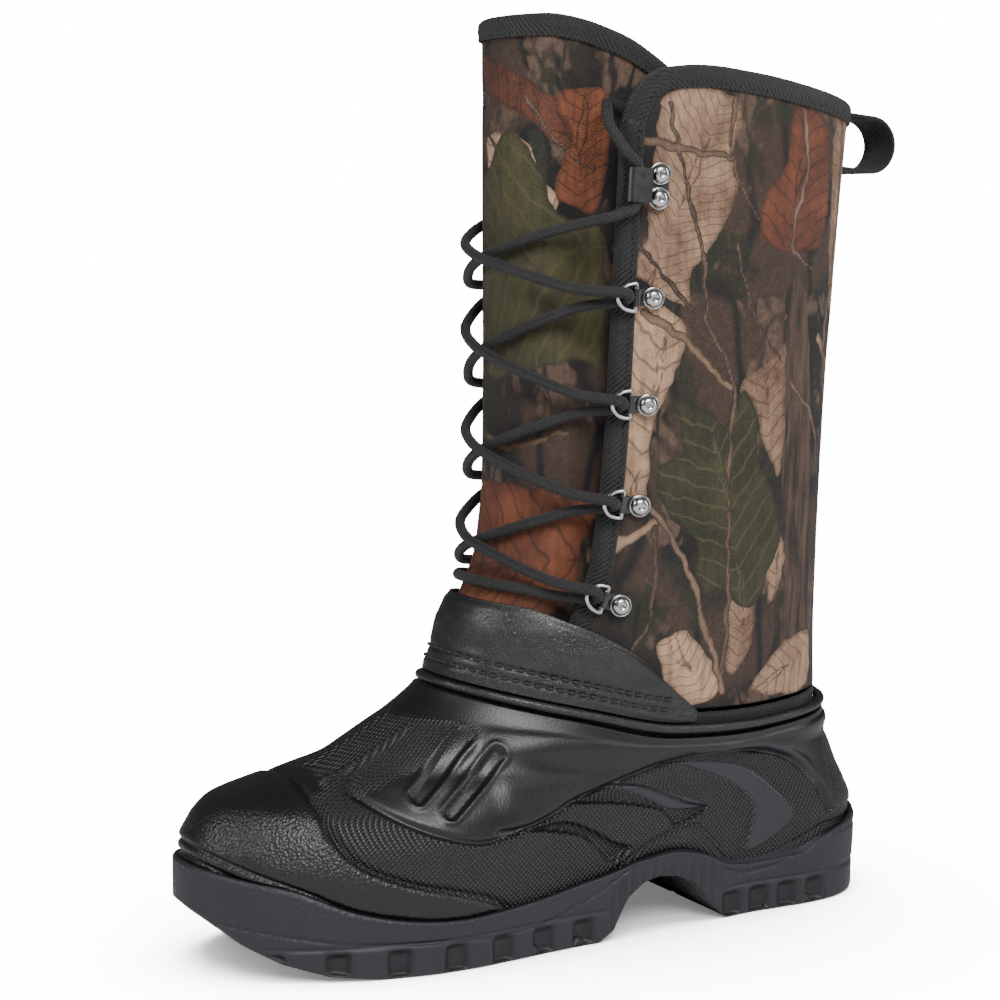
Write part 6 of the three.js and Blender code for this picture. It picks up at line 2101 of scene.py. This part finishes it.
# ---------------------------------------------------------------- studio
class Studio:
    """Pale floor that glows for the camera with a painted shadow, large soft lights and the camera."""

    ambient: float = 0.13
    backdrop: float = 16.0
    paper_glow: float = 15.0

    def __init__(self) -> None:
        """Place the camera: level with the eye lines of the boot's top, tipped down a little."""
        azimuth, tip = np.radians(61.5), np.radians(3.9)
        back = np.array([np.sin(azimuth), -np.cos(azimuth), 0.0])
        target = np.array([-0.009, -0.0232, 0.303])
        data = bpy.data.cameras.new("camera")
        camera = bpy.data.objects.new("camera", data)
        bpy.context.scene.collection.objects.link(camera)
        camera.location = target + 1.027 * back
        camera.rotation_euler = (np.pi / 2 - tip, 0.0, azimuth)
        data.lens = 86.7
        data.sensor_width = 36.0
        data.shift_y = -0.12
        bpy.context.scene.camera = camera

    def light(self, name: str, place: tuple, size: tuple, power: float, target: tuple = (0, 0, 0.17)) -> None:
        """One large soft light, aimed at a point."""
        data = bpy.data.lights.new(name, "AREA")
        data.shape = "RECTANGLE"
        data.size, data.size_y = size
        data.energy = power
        lamp = bpy.data.objects.new(name, data)
        bpy.context.scene.collection.objects.link(lamp)
        lamp.location = place
        away = np.array(place) - np.array(target)
        flat = np.hypot(away[0], away[1])
        lamp.rotation_euler = (np.arctan2(flat, away[2]), 0.0, np.arctan2(away[0], -away[1]))

    def floor(self) -> None:
        """A wide pale floor that glows for the camera, its glow dimmed near the boot by ambient occlusion as
        a painted shadow, and a pale world behind it.
        """
        data = bpy.data.meshes.new("floor")
        data.from_pydata([(-6, -6, 0), (6, -6, 0), (6, 6, 0), (-6, 6, 0)], [], [(0, 1, 2, 3)])
        piece = bpy.data.objects.new("floor", data)
        bpy.context.scene.collection.objects.link(piece)
        piece.location.z = -0.0003
        g = Graph("paper")
        tooth = g.noise(g.place(), 900, 3)
        # Painted shadow: the glow that the camera sees fades where ambient occlusion finds the boot close by.
        painted_shadow_ao = g.node("AmbientOcclusion", {"Distance": 0.22}, samples=8).outputs["AO"]
        seen = g.math("MULTIPLY", g.node("LightPath", {}).outputs["Is Camera Ray"],
                      g.remap(painted_shadow_ao, 0.35, 0.99, 0.012, 1.0))
        data.materials.append(g.finish((0.93, 0.93, 0.93), 0.8, g.bump(tooth, 0.00005, 0.2),
                                       Emission_Color=(1.0, 1.0, 1.0),
                                       Emission_Strength=g.math("MULTIPLY", seen, self.paper_glow)))
        piece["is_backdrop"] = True
        world = bpy.data.worlds.new("studio")
        bpy.context.scene.world = world
        world.use_nodes = True
        tree = world.node_tree
        sky = tree.nodes["Background"]
        sky.inputs["Color"].default_value = (1.0, 1.0, 1.0, 1.0)
        seen = tree.nodes.new("ShaderNodeLightPath").outputs["Is Camera Ray"]
        level = tree.nodes.new("ShaderNodeMapRange")
        level.inputs["To Min"].default_value = self.ambient
        level.inputs["To Max"].default_value = self.backdrop
        tree.links.new(seen, level.inputs["Value"])
        tree.links.new(level.outputs["Result"], sky.inputs["Strength"])

    def build(self) -> None:
        """Floor and lights."""
        self.floor()
        self.light("key", (1.3, -0.35, 1.15), (0.7, 0.7), 34.0)
        self.light("front", (0.05, -1.6, 0.95), (0.5, 0.9), 15.0)
        self.light("edge", (1.0, 1.2, 0.7), (0.3, 1.1), 9.0)


def write_size() -> None:
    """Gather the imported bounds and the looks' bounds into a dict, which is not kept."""
    as_lists = lambda box: [[float(x) for x in corner] for corner in box]
    {"cad": as_lists(CAD_BOX), "looks": as_lists(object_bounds())}


def main() -> None:
    """Build everything in order."""
    studio = Studio()
    finishes = Finishes()
    Lace(finishes).build()
    chart = PrintChart()
    Shell(finishes).build()
    Outsole(finishes).build()
    Collar(finishes).build()
    Lining(finishes).build()
    Shaft(finishes, chart).build()
    Tongue(finishes, chart).build()
    Hardware(finishes).build()
    PullLoop(finishes).build()
    studio.build()
    write_size()


if __name__ == "__main__":
    main()
